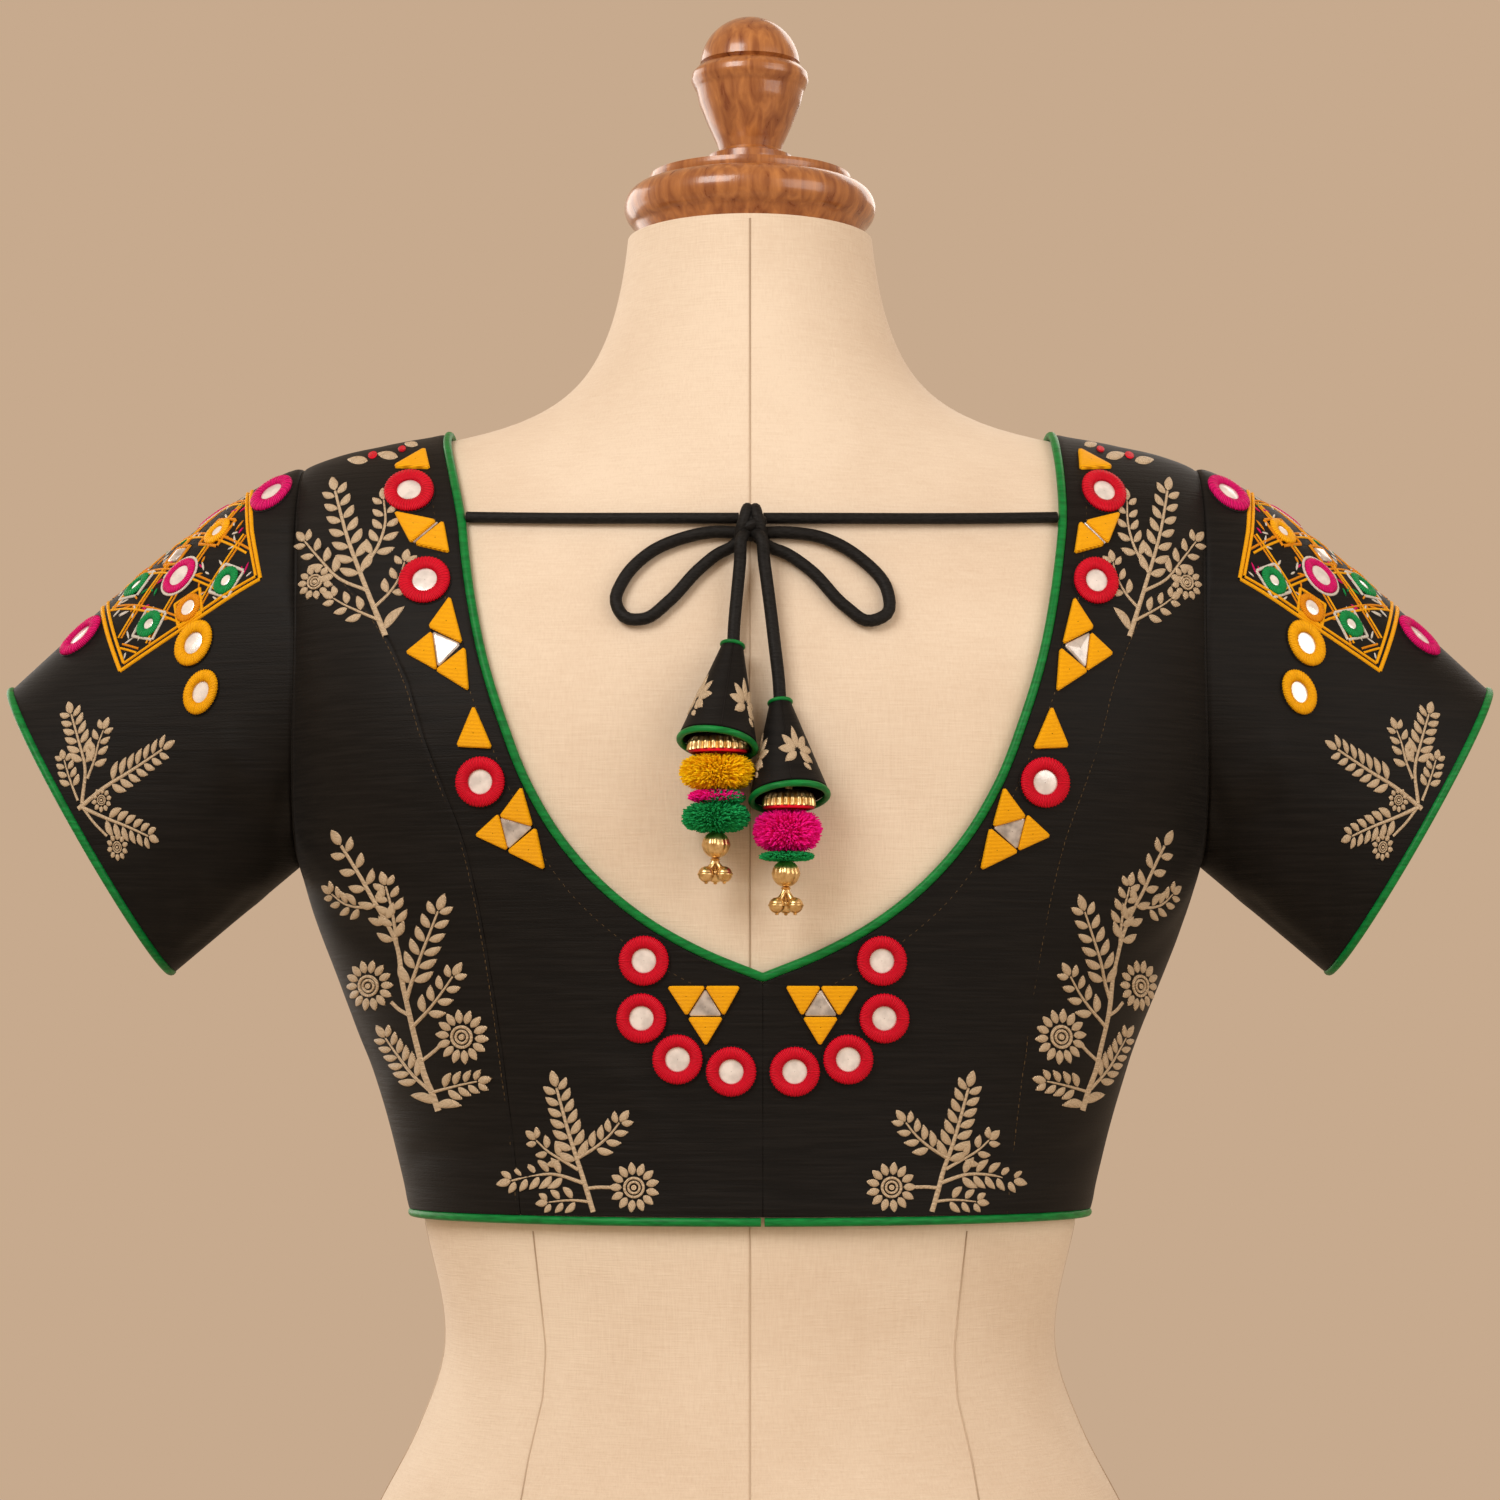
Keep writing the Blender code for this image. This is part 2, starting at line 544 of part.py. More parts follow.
class Sleeve:
    """The outer face of a sleeve, by turn round it (0 on top, back negative) and share of its length."""

    def __init__(self, sign):
        self.sign = sign
        self.turns = np.linspace(-180, 180, 73)
        inner = arm_ring(self.turns, sign)
        outer = outward(inner)
        side = np.maximum(abs(inner[:, 0]), abs(outer[:, 0])) + SEAM + 0.1
        self.start = np.column_stack([sign * side, outer[:, 1], outer[:, 2]])
        lean = np.radians(self.turns)
        self.round = np.column_stack([0 * lean, np.sin(lean), np.cos(lean)])
        up = np.array([sign * math.cos(CUFF_LEAN), 0, math.sin(CUFF_LEAN)])
        self.axis = np.array([sign * math.sin(CUFF_LEAN), 0, -math.cos(CUFF_LEAN)])
        centre = np.array([sign * CUFF_CENTRE[0], CUFF_CENTRE[1], CUFF_CENTRE[2]])
        self.cuff_round = np.cos(lean)[:, None] * up + np.sin(lean)[:, None] * np.array([0, 1, 0])
        self.edge = centre + CUFF_HALF * np.cos(lean)[:, None] * up
        self.edge = self.edge + CUFF_DEPTH * np.sin(lean)[:, None] * np.array([0, 1, 0])
        self.end = self.edge - (2 * PIPE + SEAM) * self.axis

    def at(self, turn, share):
        turn, share = np.broadcast_arrays(np.asarray(turn, float), np.asarray(share, float))
        turn = (turn + 180) % 360 - 180
        pick = [np.stack([np.interp(turn, self.turns, rows[:, i]) for i in range(3)], -1)
                for rows in (self.start, self.end, self.round, self.cuff_round)]
        s = share[..., None]
        out = (1 - s) * pick[2] + s * pick[3]
        crown = SLEEVE_CROWN * np.sin(math.pi * share**0.6) * np.maximum(np.cos(np.radians(turn)), 0) ** 1.5
        return (1 - s) * pick[0] + s * pick[1] + crown[..., None] * out

    def out(self, turn, share):
        """Way out of the face; at the armhole it lies in the seam's plane."""
        turn, share = np.broadcast_arrays(np.asarray(turn, float), np.asarray(share, float))
        step = 1e-3
        low, high = np.maximum(share - step, 0), np.minimum(share + step, 1)
        along = self.at(turn, high) - self.at(turn, low)
        around = self.at(turn + 0.5, share) - self.at(turn - 0.5, share)
        face = np.cross(around, along)
        face = face / np.linalg.norm(face, axis=-1, keepdims=True)
        lean = np.radians(turn)
        flat = np.stack([0 * lean, np.sin(lean), np.cos(lean)], -1)
        face = face * np.sign((face * flat).sum(-1, keepdims=True))
        mix = ease(share / 0.15)[..., None]
        way = (1 - mix) * flat + mix * face
        return way / np.linalg.norm(way, axis=-1, keepdims=True)


def sleeve_panel(sign, tag):
    shape = Sleeve(sign)
    around, along = SLEEVE_GRID
    turns = np.linspace(-180, 180, around + 1)
    shares = np.linspace(0, 1, along)
    turn, share = np.meshgrid(turns, shares)
    outer = shape.at(turn, share)
    inner = outer - WALL * shape.out(turn, share)
    length, girth = SLEEVE_LENGTH, SLEEVE_GIRTH

    def flat(t, s):
        return np.stack([np.asarray(t) / 360 * girth, np.asarray(s) * length], -1)

    rim = rim_loop(along, around + 1)
    middle = np.setdiff1d(np.arange(outer.shape[0] * outer.shape[1]), rim)
    all_flat = flat(turn, share).reshape(-1, 2)
    features = []
    for t, s, size in SLEEVE_RINGS:
        features.append(ring_contours(flat(t, s), size))
    kept, drawn, triangles = raised_skin(all_flat[rim], all_flat[middle], features, CLEAR_OF_PATCH)
    raised = []
    for (a, b), rise in drawn:
        t, s = a / girth * 360, b / length
        raised.append(shape.at(t, s) + rise * shape.out(t, s))
    points = inner.reshape(-1, 3)
    count = len(points)
    skin = np.concatenate([outer.reshape(-1, 3)[rim], outer.reshape(-1, 3)[middle[kept]], np.array(raised)])
    faces = grid_faces(along, around + 1) + [tuple(count + i for i in face) for face in triangles]
    for i, this in enumerate(rim):
        last = rim[i - 1]
        on_seam = this % (around + 1) == last % (around + 1)
        if not on_seam:
            faces.append((last, this, count + i, count + (i - 1) % len(rim)))
    return add_mesh("sleeve_" + tag, np.concatenate([points, skin]), faces, SILK), shape


def tube(name, path, radius, sides_step, material_, closed=False):
    """A round cord or bound edge along a path, as a curve with a bevel and filled caps."""
    curve = bpy.data.curves.new(name, "CURVE")
    curve.dimensions = "3D"
    spline = curve.splines.new("POLY")
    spline.points.add(len(path) - 1)
    for point, place_ in zip(spline.points, path):
        point.co = (*(np.asarray(place_) * MM), 1)
    spline.use_cyclic_u = closed
    curve.bevel_depth = radius * MM
    curve.bevel_resolution = sides_step
    curve.use_fill_caps = not closed
    curve.materials.append(material_)
    return place(bpy.data.objects.new(name, curve))


def pipings(lines, sleeves):
    """The bound edges: neck, hem and cuffs."""
    half_wall = WALL / 2
    neck = []
    for sign, line in lines:
        path = shifted(line, -sign * PIPE)
        path = path + half_wall * normal_of(cloth, path)
        neck.append(path)
    left, right = (side[abs(side[:, 0] - SKEW) > V_GAP] for side in neck)
    whole = joined(left, right[::-1])
    tube("piping_neck", resample(whole, 72), PIPE, 1, SATIN)
    turns = np.radians(np.linspace(-90 - 0.4, -450 + 0.4, 120))
    way = np.column_stack([np.cos(turns), np.sin(turns), 0 * turns])
    hem = cast(cloth, (SKEW, 0, HEM_PIPE), way, half_wall)
    tube("piping_hem", resample(hem, 50), PIPE, 1, SATIN)
    for sleeve, tag in sleeves:
        ring = sleeve.edge - PIPE * sleeve.axis
        ring = ring - half_wall * sleeve.cuff_round
        tube("piping_cuff_" + tag, ring[:-1:4], PIPE, 1, SATIN, closed=True)


def form_body():
    """The dress form: trunk and neck, flat below and above."""
    level = [(z, 0.0) for z in (0, 22, 48, 75, 100, 125, 150, 172, 195, 220, 250, 282, 315, 348, 380)]
    rise = [(402, 2), (412, 10), (421, 18), (431, 26), (442, 34), (456, 43), (475, 50), (500, 52), (530, 45),
            (560, 34), (590, 20), (612, 8), (NECK_TOP, 0)]
    around = FORM_ROUND
    turns = [2 * math.pi * (i + 0.5) / around for i in range(around)]
    points = []
    for height, lean in level + rise:
        lean = math.radians(lean)
        way = np.array([
            (1.35 * math.cos(a) * math.cos(lean), math.sin(a) * math.cos(lean), math.sin(lean) * 1.1)
            for a in turns
        ])
        points.extend(cast(figure, (0, -2, height), way))
    rows = len(level) + len(rise)
    faces = grid_faces(rows, around, closed=True)
    faces.append(tuple(range(around)))
    faces.append(tuple((rows - 1) * around + i for i in range(around)))
    return add_mesh("form_body", points, faces, LINEN)


def turned(name, profile, centre, material_, steps):
    """A turned shape: a profile of radius and height, from top to bottom, spun with a Screw."""
    mesh = bpy.data.meshes.new(name)
    points = [(r * MM, 0, z * MM) for r, z in profile]
    mesh.from_pydata(points, [(i, i + 1) for i in range(len(points) - 1)], [])
    mesh.materials.append(material_)
    obj = place(bpy.data.objects.new(name, mesh))
    obj.location = Vector(centre) * MM
    spin = obj.modifiers.new("Spin", "SCREW")
    spin.steps = spin.render_steps = steps
    spin.use_merge_vertices = True
    spin.merge_threshold = 1e-5
    spin.use_smooth_shade = True
    return obj


def arc(centre, radius, start, end, count):
    """Profile points on an arc, angles in degrees from +radius, heights up."""
    angles = [math.radians(start + (end - start) * i / (count - 1)) for i in range(count)]
    return [(centre[0] + radius * math.cos(a), centre[1] + radius * math.sin(a)) for a in angles]


def form_top():
    """Wooden neck cap and finial."""
    low = NECK_TOP + SEAM
    cap = [(0, 659.3), (40, 659.3), (41.3, 657.5), (41.6, 655)]
    cap += arc((42, 645.5), 9.2, 70, -55, 6)
    cap += [(44.5, low + 0.9), (42.5, low), (0, low)]
    turned("form_cap", cap, (0, -7, 0), WOOD, 20)
    base = 659.6
    finial = [(0, 724.9)] + arc((0, 704.6), 20.4, 78, 4, 6)
    finial += [(18.9, 704.9), (21.4, 704.0), (23.6, 701.5), (23.9, 698.5), (22.6, 695.6)]
    finial += [(20.6, 689.0), (17.2, 680.5), (13.6, 672.6), (12.7, 669.6), (14.2, 668.3)]
    finial += [(16.9, 667.2), (17.3, 664.2), (16.9, base), (0, base)]
    turned("form_finial", finial, (0, -7, 0), WOOD, 16)


def ties_and_bow(lines):
    """Two ties from the neck edge to the knot, two loops and two free ends."""
    knot_y = figure_back(KNOT[0], KNOT[1], KNOT[4] + 0.5)
    for (sign, line), tag in zip(lines, ("left", "right")):
        start = line[np.argmin(abs(line[:, 2] - 510.5) + 1000 * (line[:, 1] > 0))]
        x0 = start[0] - sign * 0.6
        stop = KNOT[0] + sign * (KNOT[2] + 0.9)
        xs = np.linspace(x0, stop, 13)
        heights = TIE_HEIGHT + (start[2] - TIE_HEIGHT) * (abs(xs - stop) / abs(x0 - stop)) ** 1.5
        path = [(x, figure_back(x, z, TIE_R + 0.5), z) for x, z in zip(xs, heights)]
        tube("tie_" + tag, path, TIE_R, 2, CORD)
    for name, route in (("loop_left", LOOP_LEFT), ("loop_right", LOOP_RIGHT)):
        flat = resample(np.array(route), 18)
        tube(name, [(x, figure_back(x, z, LOOP_R + 0.3), z) for x, z in flat], LOOP_R, 2, CORD)
    for name, route, count in (("end_left", END_LEFT, 6), ("end_right", END_RIGHT, 8)):
        rows = resample(np.array(route), count)
        tube(name, [(x, figure_back(x, z, out), z) for x, z, out in rows], LOOP_R, 2, CORD)
    tool = bmesh.new()
    bmesh.ops.create_uvsphere(tool, u_segments=12, v_segments=8, radius=1)
    for vert in tool.verts:
        lobes = 1 + 0.05 * math.cos(3 * math.atan2(vert.co.z, vert.co.x))
        vert.co = (KNOT[0] + vert.co.x * KNOT[2] * lobes, knot_y + vert.co.y * KNOT[4],
                   KNOT[1] + vert.co.z * KNOT[3] * lobes)
        vert.co *= MM
    finish_bmesh(tool, "knot", CORD)


def figure_back(x, z, out):
    return float(cast(figure, (x, 0, z), (0.0, -1.0, 0.0), out)[1])


def finish_bmesh(tool, name, material_):
    mesh = bpy.data.meshes.new(name)
    bmesh.ops.recalc_face_normals(tool, faces=tool.faces)
    tool.to_mesh(mesh)
    tool.free()
    mesh.shade_smooth()
    mesh.set_sharp_from_angle(angle=math.radians(40))
    mesh.materials.append(material_)
    return place(bpy.data.objects.new(name, mesh))


def pompom(name, centre, radius, half_height, material_, locks=LOCKS):
    """A ball of short wool locks: each face of a ball drawn out to a blunt point."""
    tool = bmesh.new()
    bmesh.ops.create_uvsphere(tool, u_segments=locks[0], v_segments=locks[1], radius=1)
    root = 0.84
    for vert in tool.verts:
        vert.co *= root
    faces = bmesh.ops.poke(tool, faces=tool.faces[:], offset=0.0)
    for vert in faces["verts"]:
        vert.co = vert.co.normalized()
    for vert in tool.verts:
        vert.co = (centre[0] + vert.co.x * radius, centre[1] + vert.co.y * radius,
                   centre[2] + vert.co.z * half_height)
        vert.co *= MM
    finish_bmesh(tool, name, material_)


def bell_cluster(name, centre, top, low):
    """Three little metal bells on one stem, drawn as one lobed body."""
    tool = bmesh.new()
    bmesh.ops.create_uvsphere(tool, u_segments=12, v_segments=8, radius=1)
    middle, half = (top + low) / 2, (top - low) / 2
    for vert in tool.verts:
        height = vert.co.z
        lobe = 0.5 + 0.5 * math.cos(3 * math.atan2(vert.co.y, vert.co.x) + math.pi / 2)
        reach = 3.0 + 3.8 * lobe * float(ease((0.75 - height) / 1.1))
        vert.co = (centre[0] + vert.co.x * reach, centre[1] + vert.co.y * reach, middle + height * half)
        vert.co *= MM
    finish_bmesh(tool, name, GOLD)


def latkan(tag, top, foot, parts):
    """A tassel: a cloth cone with a bound rim, and what hangs below it."""
    top, foot = np.array(top, float), np.array(foot, float)
    axis = Vector(top - foot)
    tall = axis.length
    cone = [(0, tall), (CONE_TOP_R, tall), (CONE_END_R, 0), (CONE_END_R - CONE_WALL, 0),
            (CONE_TOP_R - CONE_WALL, tall - CONE_ROOF), (0, tall - CONE_ROOF)]
    lean = Vector((0, 0, 1)).rotation_difference(axis)
    obj = turned(f"latkan_{tag}_cone", cone, foot, SILK, 16)
    obj.rotation_mode = "QUATERNION"
    obj.rotation_quaternion = lean
    turn = [2 * math.pi * i / 16 for i in range(16)]
    ring = [foot + np.array(lean @ Vector(((CONE_END_R - 0.4) * math.cos(a), (CONE_END_R - 0.4) * math.sin(a),
                                           -RIM_R - SEAM))) for a in turn]
    tube(f"latkan_{tag}_rim", ring, RIM_R, 1, SATIN, closed=True)
    for name, x, high, low, radius, kind in parts:
        name = f"latkan_{tag}_{name}"
        middle, half = (high + low) / 2, (high - low) / 2
        if kind in POMPOMS:
            pompom(name, (x, HANG_Y, middle), radius, half, POMPOMS[kind], LOCKS if half > 4 else (10, 3))
        elif kind == "bells":
            bell_cluster(name, (x, HANG_Y), high, low)
        elif kind == "cap":
            neck = foot[2] + STEM_RISE
            profile = [(0, neck), (STEM_R, neck), (STEM_R, high), (radius * 0.55, high - 0.5),
                       (radius * 0.86, high - 2.2), (radius, middle - 0.5),
                       (radius * 0.97, low + 0.8), (radius * 0.86, low), (0, low)]
            turned(name, profile, (x, HANG_Y, 0), GOLD, 14)
        else:
            profile = [(0, high)] + arc((0, middle), half, 62, -62, 6) + [(0, low)]
            turned(name, profile, (x, HANG_Y, 0), GOLD, 14)


def main():
    form_body()
    form_top()
    lines = [(sign, resample(neck_line(sign), 260)) for sign in (-1, 1)]
    backs, fronts = [], []
    for sign, line in lines:
        cut = shifted(line, -sign * (2 * PIPE + EDGE_GAP))
        ridge = int(np.argmax(cut[:, 2]))
        back = cut[: ridge - 1]
        back = back[abs(back[:, 0] - SKEW) > 0.16]
        start = back[0] - (back[1] - back[0]) * (abs(back[0][0] - SKEW) - 0.15) / abs(back[1][0] - back[0][0])
        backs.append(np.concatenate([seat(cloth, start[None]), back]))
        front = cut[ridge + 2:]
        front[-1] = seat(cloth, np.array([[0.0, front[-1][1], front[-1][2]]]))[0]
        fronts.append((sign, front))
    for (sign, _), tag, back in zip(lines, ("left", "right"), backs):
        back_panels(sign, tag, back)
    front_panel(fronts)
    sleeves = []
    for sign, tag in ((-1, "left"), (1, "right")):
        _, shape = sleeve_panel(sign, tag)
        sleeves.append((shape, tag))
    pipings(lines, sleeves)
    ties_and_bow(lines)
    latkan("left", (-6.4, -112.4, 456.3), (-11.9, HANG_Y - 0.6, 418.9), (
        ("cap", -12.0, 421.5, 414.2, 11.0, "cap"),
        ("yellow", -12.2, 413.9, 400.0, 14.1, "yellow"),
        ("tuft", -12.4, 399.7, 396.2, 9.5, "pink"),
        ("green", -12.6, 395.9, 384.4, 12.7, "green"),
        ("ball", -12.6, 385.0, 374.9, 5.05, "ball"),
        ("bells", -12.9, 374.6, 365.3, 6.8, "bells"),
    ))
    latkan("right", (11.2, -113.0, 434.7), (14.5, HANG_Y - 0.6, 399.0), (
        ("cap", 14.4, 400.6, 393.3, 9.6, "cap"),
        ("pink", 13.9, 393.0, 377.0, 12.9, "pink"),
        ("tuft", 13.6, 376.7, 374.6, 9.0, "green"),
        ("ball", 13.3, 374.3, 364.2, 5.05, "ball"),
        ("bells", 13.3, 363.9, 353.8, 6.8, "bells"),
    ))


for old in list(bpy.data.objects):
    bpy.data.objects.remove(old, do_unlink=True)
PART = bpy.data.collections.new("silk_blouse_on_dress_form")
bpy.context.scene.collection.children.link(PART)
STAND = bpy.data.objects.new("stand", None)
PART.objects.link(STAND)
SILK = material("black_silk", (0.012, 0.010, 0.009), 0.55)
SATIN = material("green_satin", (0.010, 0.270, 0.075), 0.35)
CORD = material("black_cord", (0.012, 0.011, 0.011), 0.6)
LINEN = material("cream_linen", (0.83, 0.68, 0.52), 0.9)
WOOD = material("turned_wood", (0.36, 0.11, 0.025), 0.3)
GOLD = material("gold_metal", (0.80, 0.55, 0.25), 0.28, 1.0)
POMPOMS = {
    "yellow": material("yellow_wool", (0.90, 0.42, 0.01), 0.95),
    "pink": material("pink_wool", (0.72, 0.005, 0.13), 0.95),
    "green": material("green_wool", (0.01, 0.25, 0.06), 0.95),
}
main()
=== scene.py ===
"""Looks of the silk blouse on its dress form: fine cloth shells, applique, embroidery, cords and tassels.

Lengths are millimetres, as in the CAD's own sizes, and meshes are made in metres through MM.
"""

import math

import bpy
import bmesh
import numpy as np
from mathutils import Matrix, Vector


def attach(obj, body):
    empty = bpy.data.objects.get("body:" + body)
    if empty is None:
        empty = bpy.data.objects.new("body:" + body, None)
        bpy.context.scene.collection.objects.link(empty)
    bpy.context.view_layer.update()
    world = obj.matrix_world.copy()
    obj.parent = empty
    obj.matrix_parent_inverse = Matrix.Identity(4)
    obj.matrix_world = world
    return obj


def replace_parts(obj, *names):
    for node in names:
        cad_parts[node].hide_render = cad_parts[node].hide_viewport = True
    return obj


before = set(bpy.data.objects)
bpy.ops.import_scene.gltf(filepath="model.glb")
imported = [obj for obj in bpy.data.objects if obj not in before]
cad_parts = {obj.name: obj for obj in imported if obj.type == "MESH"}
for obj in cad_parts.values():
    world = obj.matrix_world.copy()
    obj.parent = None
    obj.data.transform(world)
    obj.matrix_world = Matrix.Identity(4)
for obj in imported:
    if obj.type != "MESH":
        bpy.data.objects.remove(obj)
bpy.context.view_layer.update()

MM = 0.001

# Driving sizes of the cloth
WALL = 1.5            # thickness of every cloth wall
SEAM = 0.3            # gap between two pieces at a seam
PIPE = 1.7            # radius of the bound edges
HEM_PIPE = 239.6      # height of the hem's bound edge
HEM = HEM_PIPE + PIPE + SEAM
SKEW = 4.8            # the back's centre line stands this far to +X
SKEW_SIDE = 182.0     # and the shift fades to nothing at this half width
SKEW_TOP = 556.0      # and at this height

# The general figure: one row for each section of the trunk
#   height, half width, back depth, front depth, plan exponent
TRUNK = (
    (-20, 166, 92, 80, 2.4),
    (0, 169, 97, 83, 2.4),
    (45, 172, 110, 90, 2.35),
    (85, 164, 108, 95, 2.3),
    (121, 149, 99, 96, 2.25),
    (155, 131, 86, 91, 2.2),
    (182, 121, 79, 87, 2.2),
    (234, 129, 81, 92, 2.3),
    (300, 149, 92, 100, 2.6),
    (374, 177, 102, 102, 3.4),
    (420, 187, 105, 99, 4.2),
    (470, 193, 103, 92, 4.7),
    (520, 197, 95, 80, 5.2),
    (560, 198, 86, 68, 5.2),
    (640, 198, 80, 60, 5.2),
)
#   height, half width, half depth, centre's Y
NECK = (
    (440, 66, 66, -4),
    (520, 60, 60, -6),
    (580, 52.5, 55, -7),
    (640, 48.5, 52, -7),
    (660, 48, 51.5, -7),
)
NECK_BLEND = 96.0     # how widely neck and shoulders run into each other
ROUND_FROM = 400.0    # above this height the trunk rounds over to the shoulder ridge
RIDGE_TOP, RIDGE_FALL, RIDGE_HOLLOW = 566.0, 0.135, 0.00005  # the ridge over the side: level, slope, curve
SHOULDER_INSIDE = 480.0  # a height inside the shoulder, from which its ridge is read
CORNER = 0.93         # 1 would give the shoulder's end a sharp corner
BUST_RISE, BUST_SIDE, BUST_HEIGHT, BUST_WIDE, BUST_TALL = 23.0, 80.0, 364.0, 64.0, 54.0
NECK_TOP = 632.0

# Clearance between figure and cloth
CLEAR = 1.8
CLEAR_RIDGE = 1.5     # on the shoulder ridge, where the blouse hangs
HEM_SLACK = 1.5       # more at the hem
FRONT_SLACK = 2.6     # more over the front

# Half patterns, as sides from the centre line and heights
NECK_EDGE = (
    (0, 333), (23, 342.5), (41, 352.5), (60, 367.5), (75, 384.5), (87, 404.5),
    (96.5, 428), (104, 451), (109.5, 475), (112.5, 492), (115, 509),
)
NECK_OVER = ((117.5, -48), (119.8, -24), (120, 0), (119.5, 24), (117.5, 46))  # side, lean over the ridge
FRONT_EDGE = ((114, 505), (106, 480), (92, 456), (70, 437), (38, 424), (0, 419))
PRINCESS = (
    (91.5, HEM), (95.5, 280), (100, 316), (104.5, 345), (108.5, 366), (113, 384),
    (120.5, 404), (127.5, 423), (133, 442), (142.5, 463), (157, 484), (171, 501),
)
FRONT_ARM = (179, 158, 134, 108, 80, 54, 38, 27, 18, 10, 3)  # leans at which the front reads the armhole
PRINCESS_ARM = -44.0  # lean from the vertical at which the princess seam meets the armhole

# Armholes and sleeves
ARM_HEIGHT, UNDERARM = 456.0, 369.0
ARM_SIDE, ARM_SIDE_ENDS = 177.0, 3.0
CUFF_CENTRE = (269.0, 8.0, 391.7)
CUFF_HALF, CUFF_DEPTH = 66.5, 40.0
CUFF_LEAN = math.radians(60.0)  # of the cuff's plane, from level
SLEEVE_CROWN = 8.0    # how far the top of the sleeve bows out
SLEEVE_LENGTH, SLEEVE_GIRTH = 118.0, 400.0  # of the flat sleeve in which its rings are drawn

# Applique, on the half pattern: rings by centre, triangles by corners
RING_RISE, PATCH_RISE = 1.9, 1.2
RINGS = (
    (136, 521.5), (128.5, 483), (106, 405), (44.3, 337.7), (45.2, 316.2), (31.7, 300.8), (11.8, 296.2),
)
#   corner a, corner b, corner c, each as side, height
TRIANGLES = (
    (141.5, 533.4, 130.5, 541, 128.8, 532.2),
    (140.5, 511.5, 126.5, 507.5, 134.5, 499.5),
    (123.4, 506.6, 132.2, 498.2, 120.8, 494.8),
    (119, 475, 125.7, 464.3, 114.3, 458.3),
    (125.3, 461.5, 133.4, 454.4, 123.3, 448),
    (112.9, 455, 122.4, 447.2, 111.4, 440),
    (108.8, 432.4, 114.4, 418.8, 102.4, 418),
    (90.6, 402, 98, 392.2, 86.8, 388.8),
    (99.4, 392.2, 107.3, 385.2, 96.3, 380),
    (85.3, 386.8, 94.9, 379, 82.3, 372.7),
    (34.8, 327.6, 22.2, 327.6, 28.4, 317.8),
    (20.8, 327.6, 9.2, 327.6, 14.6, 317.8),
    (27.2, 316, 15.6, 316, 21.2, 306.6),
)
#   rings on a sleeve: turn from its top (back is negative), share of its length, reach, thickness
SLEEVE_RINGS = (
    (-17.5, 0.09, 5.9, 2.1), (-21.0, 0.75, 6.4, 2.3), (-59.0, 0.38, 6.2, 2.25), (-77.5, 0.39, 6.2, 2.25),
)

# Ties, bow and tassels (latkans)
TIE_R, LOOP_R = 2.15, 2.4
KNOT = (0.4, 503.4, 6.3, 8.0, 5.0)  # X, height, half width, half height, half depth
TIE_HEIGHT = 506.6
LOOP_LEFT = (
    (-5.75, 501.2), (-15.5, 501.0), (-24, 499.3), (-38, 493.3), (-48.4, 482), (-51, 474),
    (-47.3, 467.4), (-39.7, 466.9), (-31.1, 473.3), (-19, 486.6), (-12, 492.4), (-6.6, 495.2),
)
LOOP_RIGHT = (
    (6.9, 501.0), (16, 500.8), (27, 499.2), (42, 491), (52.2, 478.2), (52.3, 469.4),
    (44.8, 466), (36.2, 471.6), (22.8, 486), (13.5, 492.6), (7.2, 495.2),
)
END_LEFT = ((-3.0, 497.95, 8.6), (-3.8, 488, 7.2), (-4.9, 476, 5.4), (-6.0, 463, 5.2), (-6.3, 456.2, 5.4))
END_RIGHT = (
    (3.9, 498.35, 8.6), (5.4, 488, 7.2), (7.6, 471, 5.4), (9.4, 455, 5.2), (10.9, 441, 5.2),
    (11.2, 435.4, 5.4),
)
HANG_Y = -123.6       # the tassels hang in this plane, just off the form
CONE_TOP_R, CONE_END_R, CONE_WALL, CONE_ROOF = 3.9, 14.6, 1.2, 2.2
RIM_R = 1.25


def smooth_rows(table, at):
    """Each column of the table, read smoothly at the values of its first column."""
    rows = np.array(table, float)
    known, values = rows[:, 0], rows[:, 1:]
    slopes = np.gradient(values, known, axis=0)
    at = np.clip(at, known[0], known[-1])
    i = np.clip(np.searchsorted(known, at, side="right") - 1, 0, len(known) - 2)
    step = (known[i + 1] - known[i])[..., None]
    t = (at - known[i])[..., None] / step
    start = (2 * t**3 - 3 * t**2 + 1) * values[i] + (t**3 - 2 * t**2 + t) * step * slopes[i]
    end = (3 * t**2 - 2 * t**3) * values[i + 1] + (t**3 - t**2) * step * slopes[i + 1]
    return start + end


def ease(t):
    t = np.clip(t, 0.0, 1.0)
    return t * t * (3 - 2 * t)


def unit(v):
    return v / np.linalg.norm(v, axis=-1, keepdims=True)


def turns_of(count):
    return 2 * math.pi * np.arange(count) / count


def hoop(radius, height, count):
    turn = turns_of(count)
    return np.stack([radius * np.cos(turn), radius * np.sin(turn), 0 * turn + height], -1)


def globe(rows, columns):
    """Places on a ball of radius 1, open by a small hole at either end."""
    lean, turn = np.meshgrid(np.linspace(0.05, math.pi - 0.05, rows), turns_of(columns), indexing="ij")
    return np.stack([np.sin(lean) * np.cos(turn), np.sin(lean) * np.sin(turn), np.cos(lean)], -1)


def leant(axis):
    """The turn that lays an upright piece along the axis."""
    return np.array(Vector((0, 0, 1)).rotation_difference(Vector(axis)).to_matrix()).T


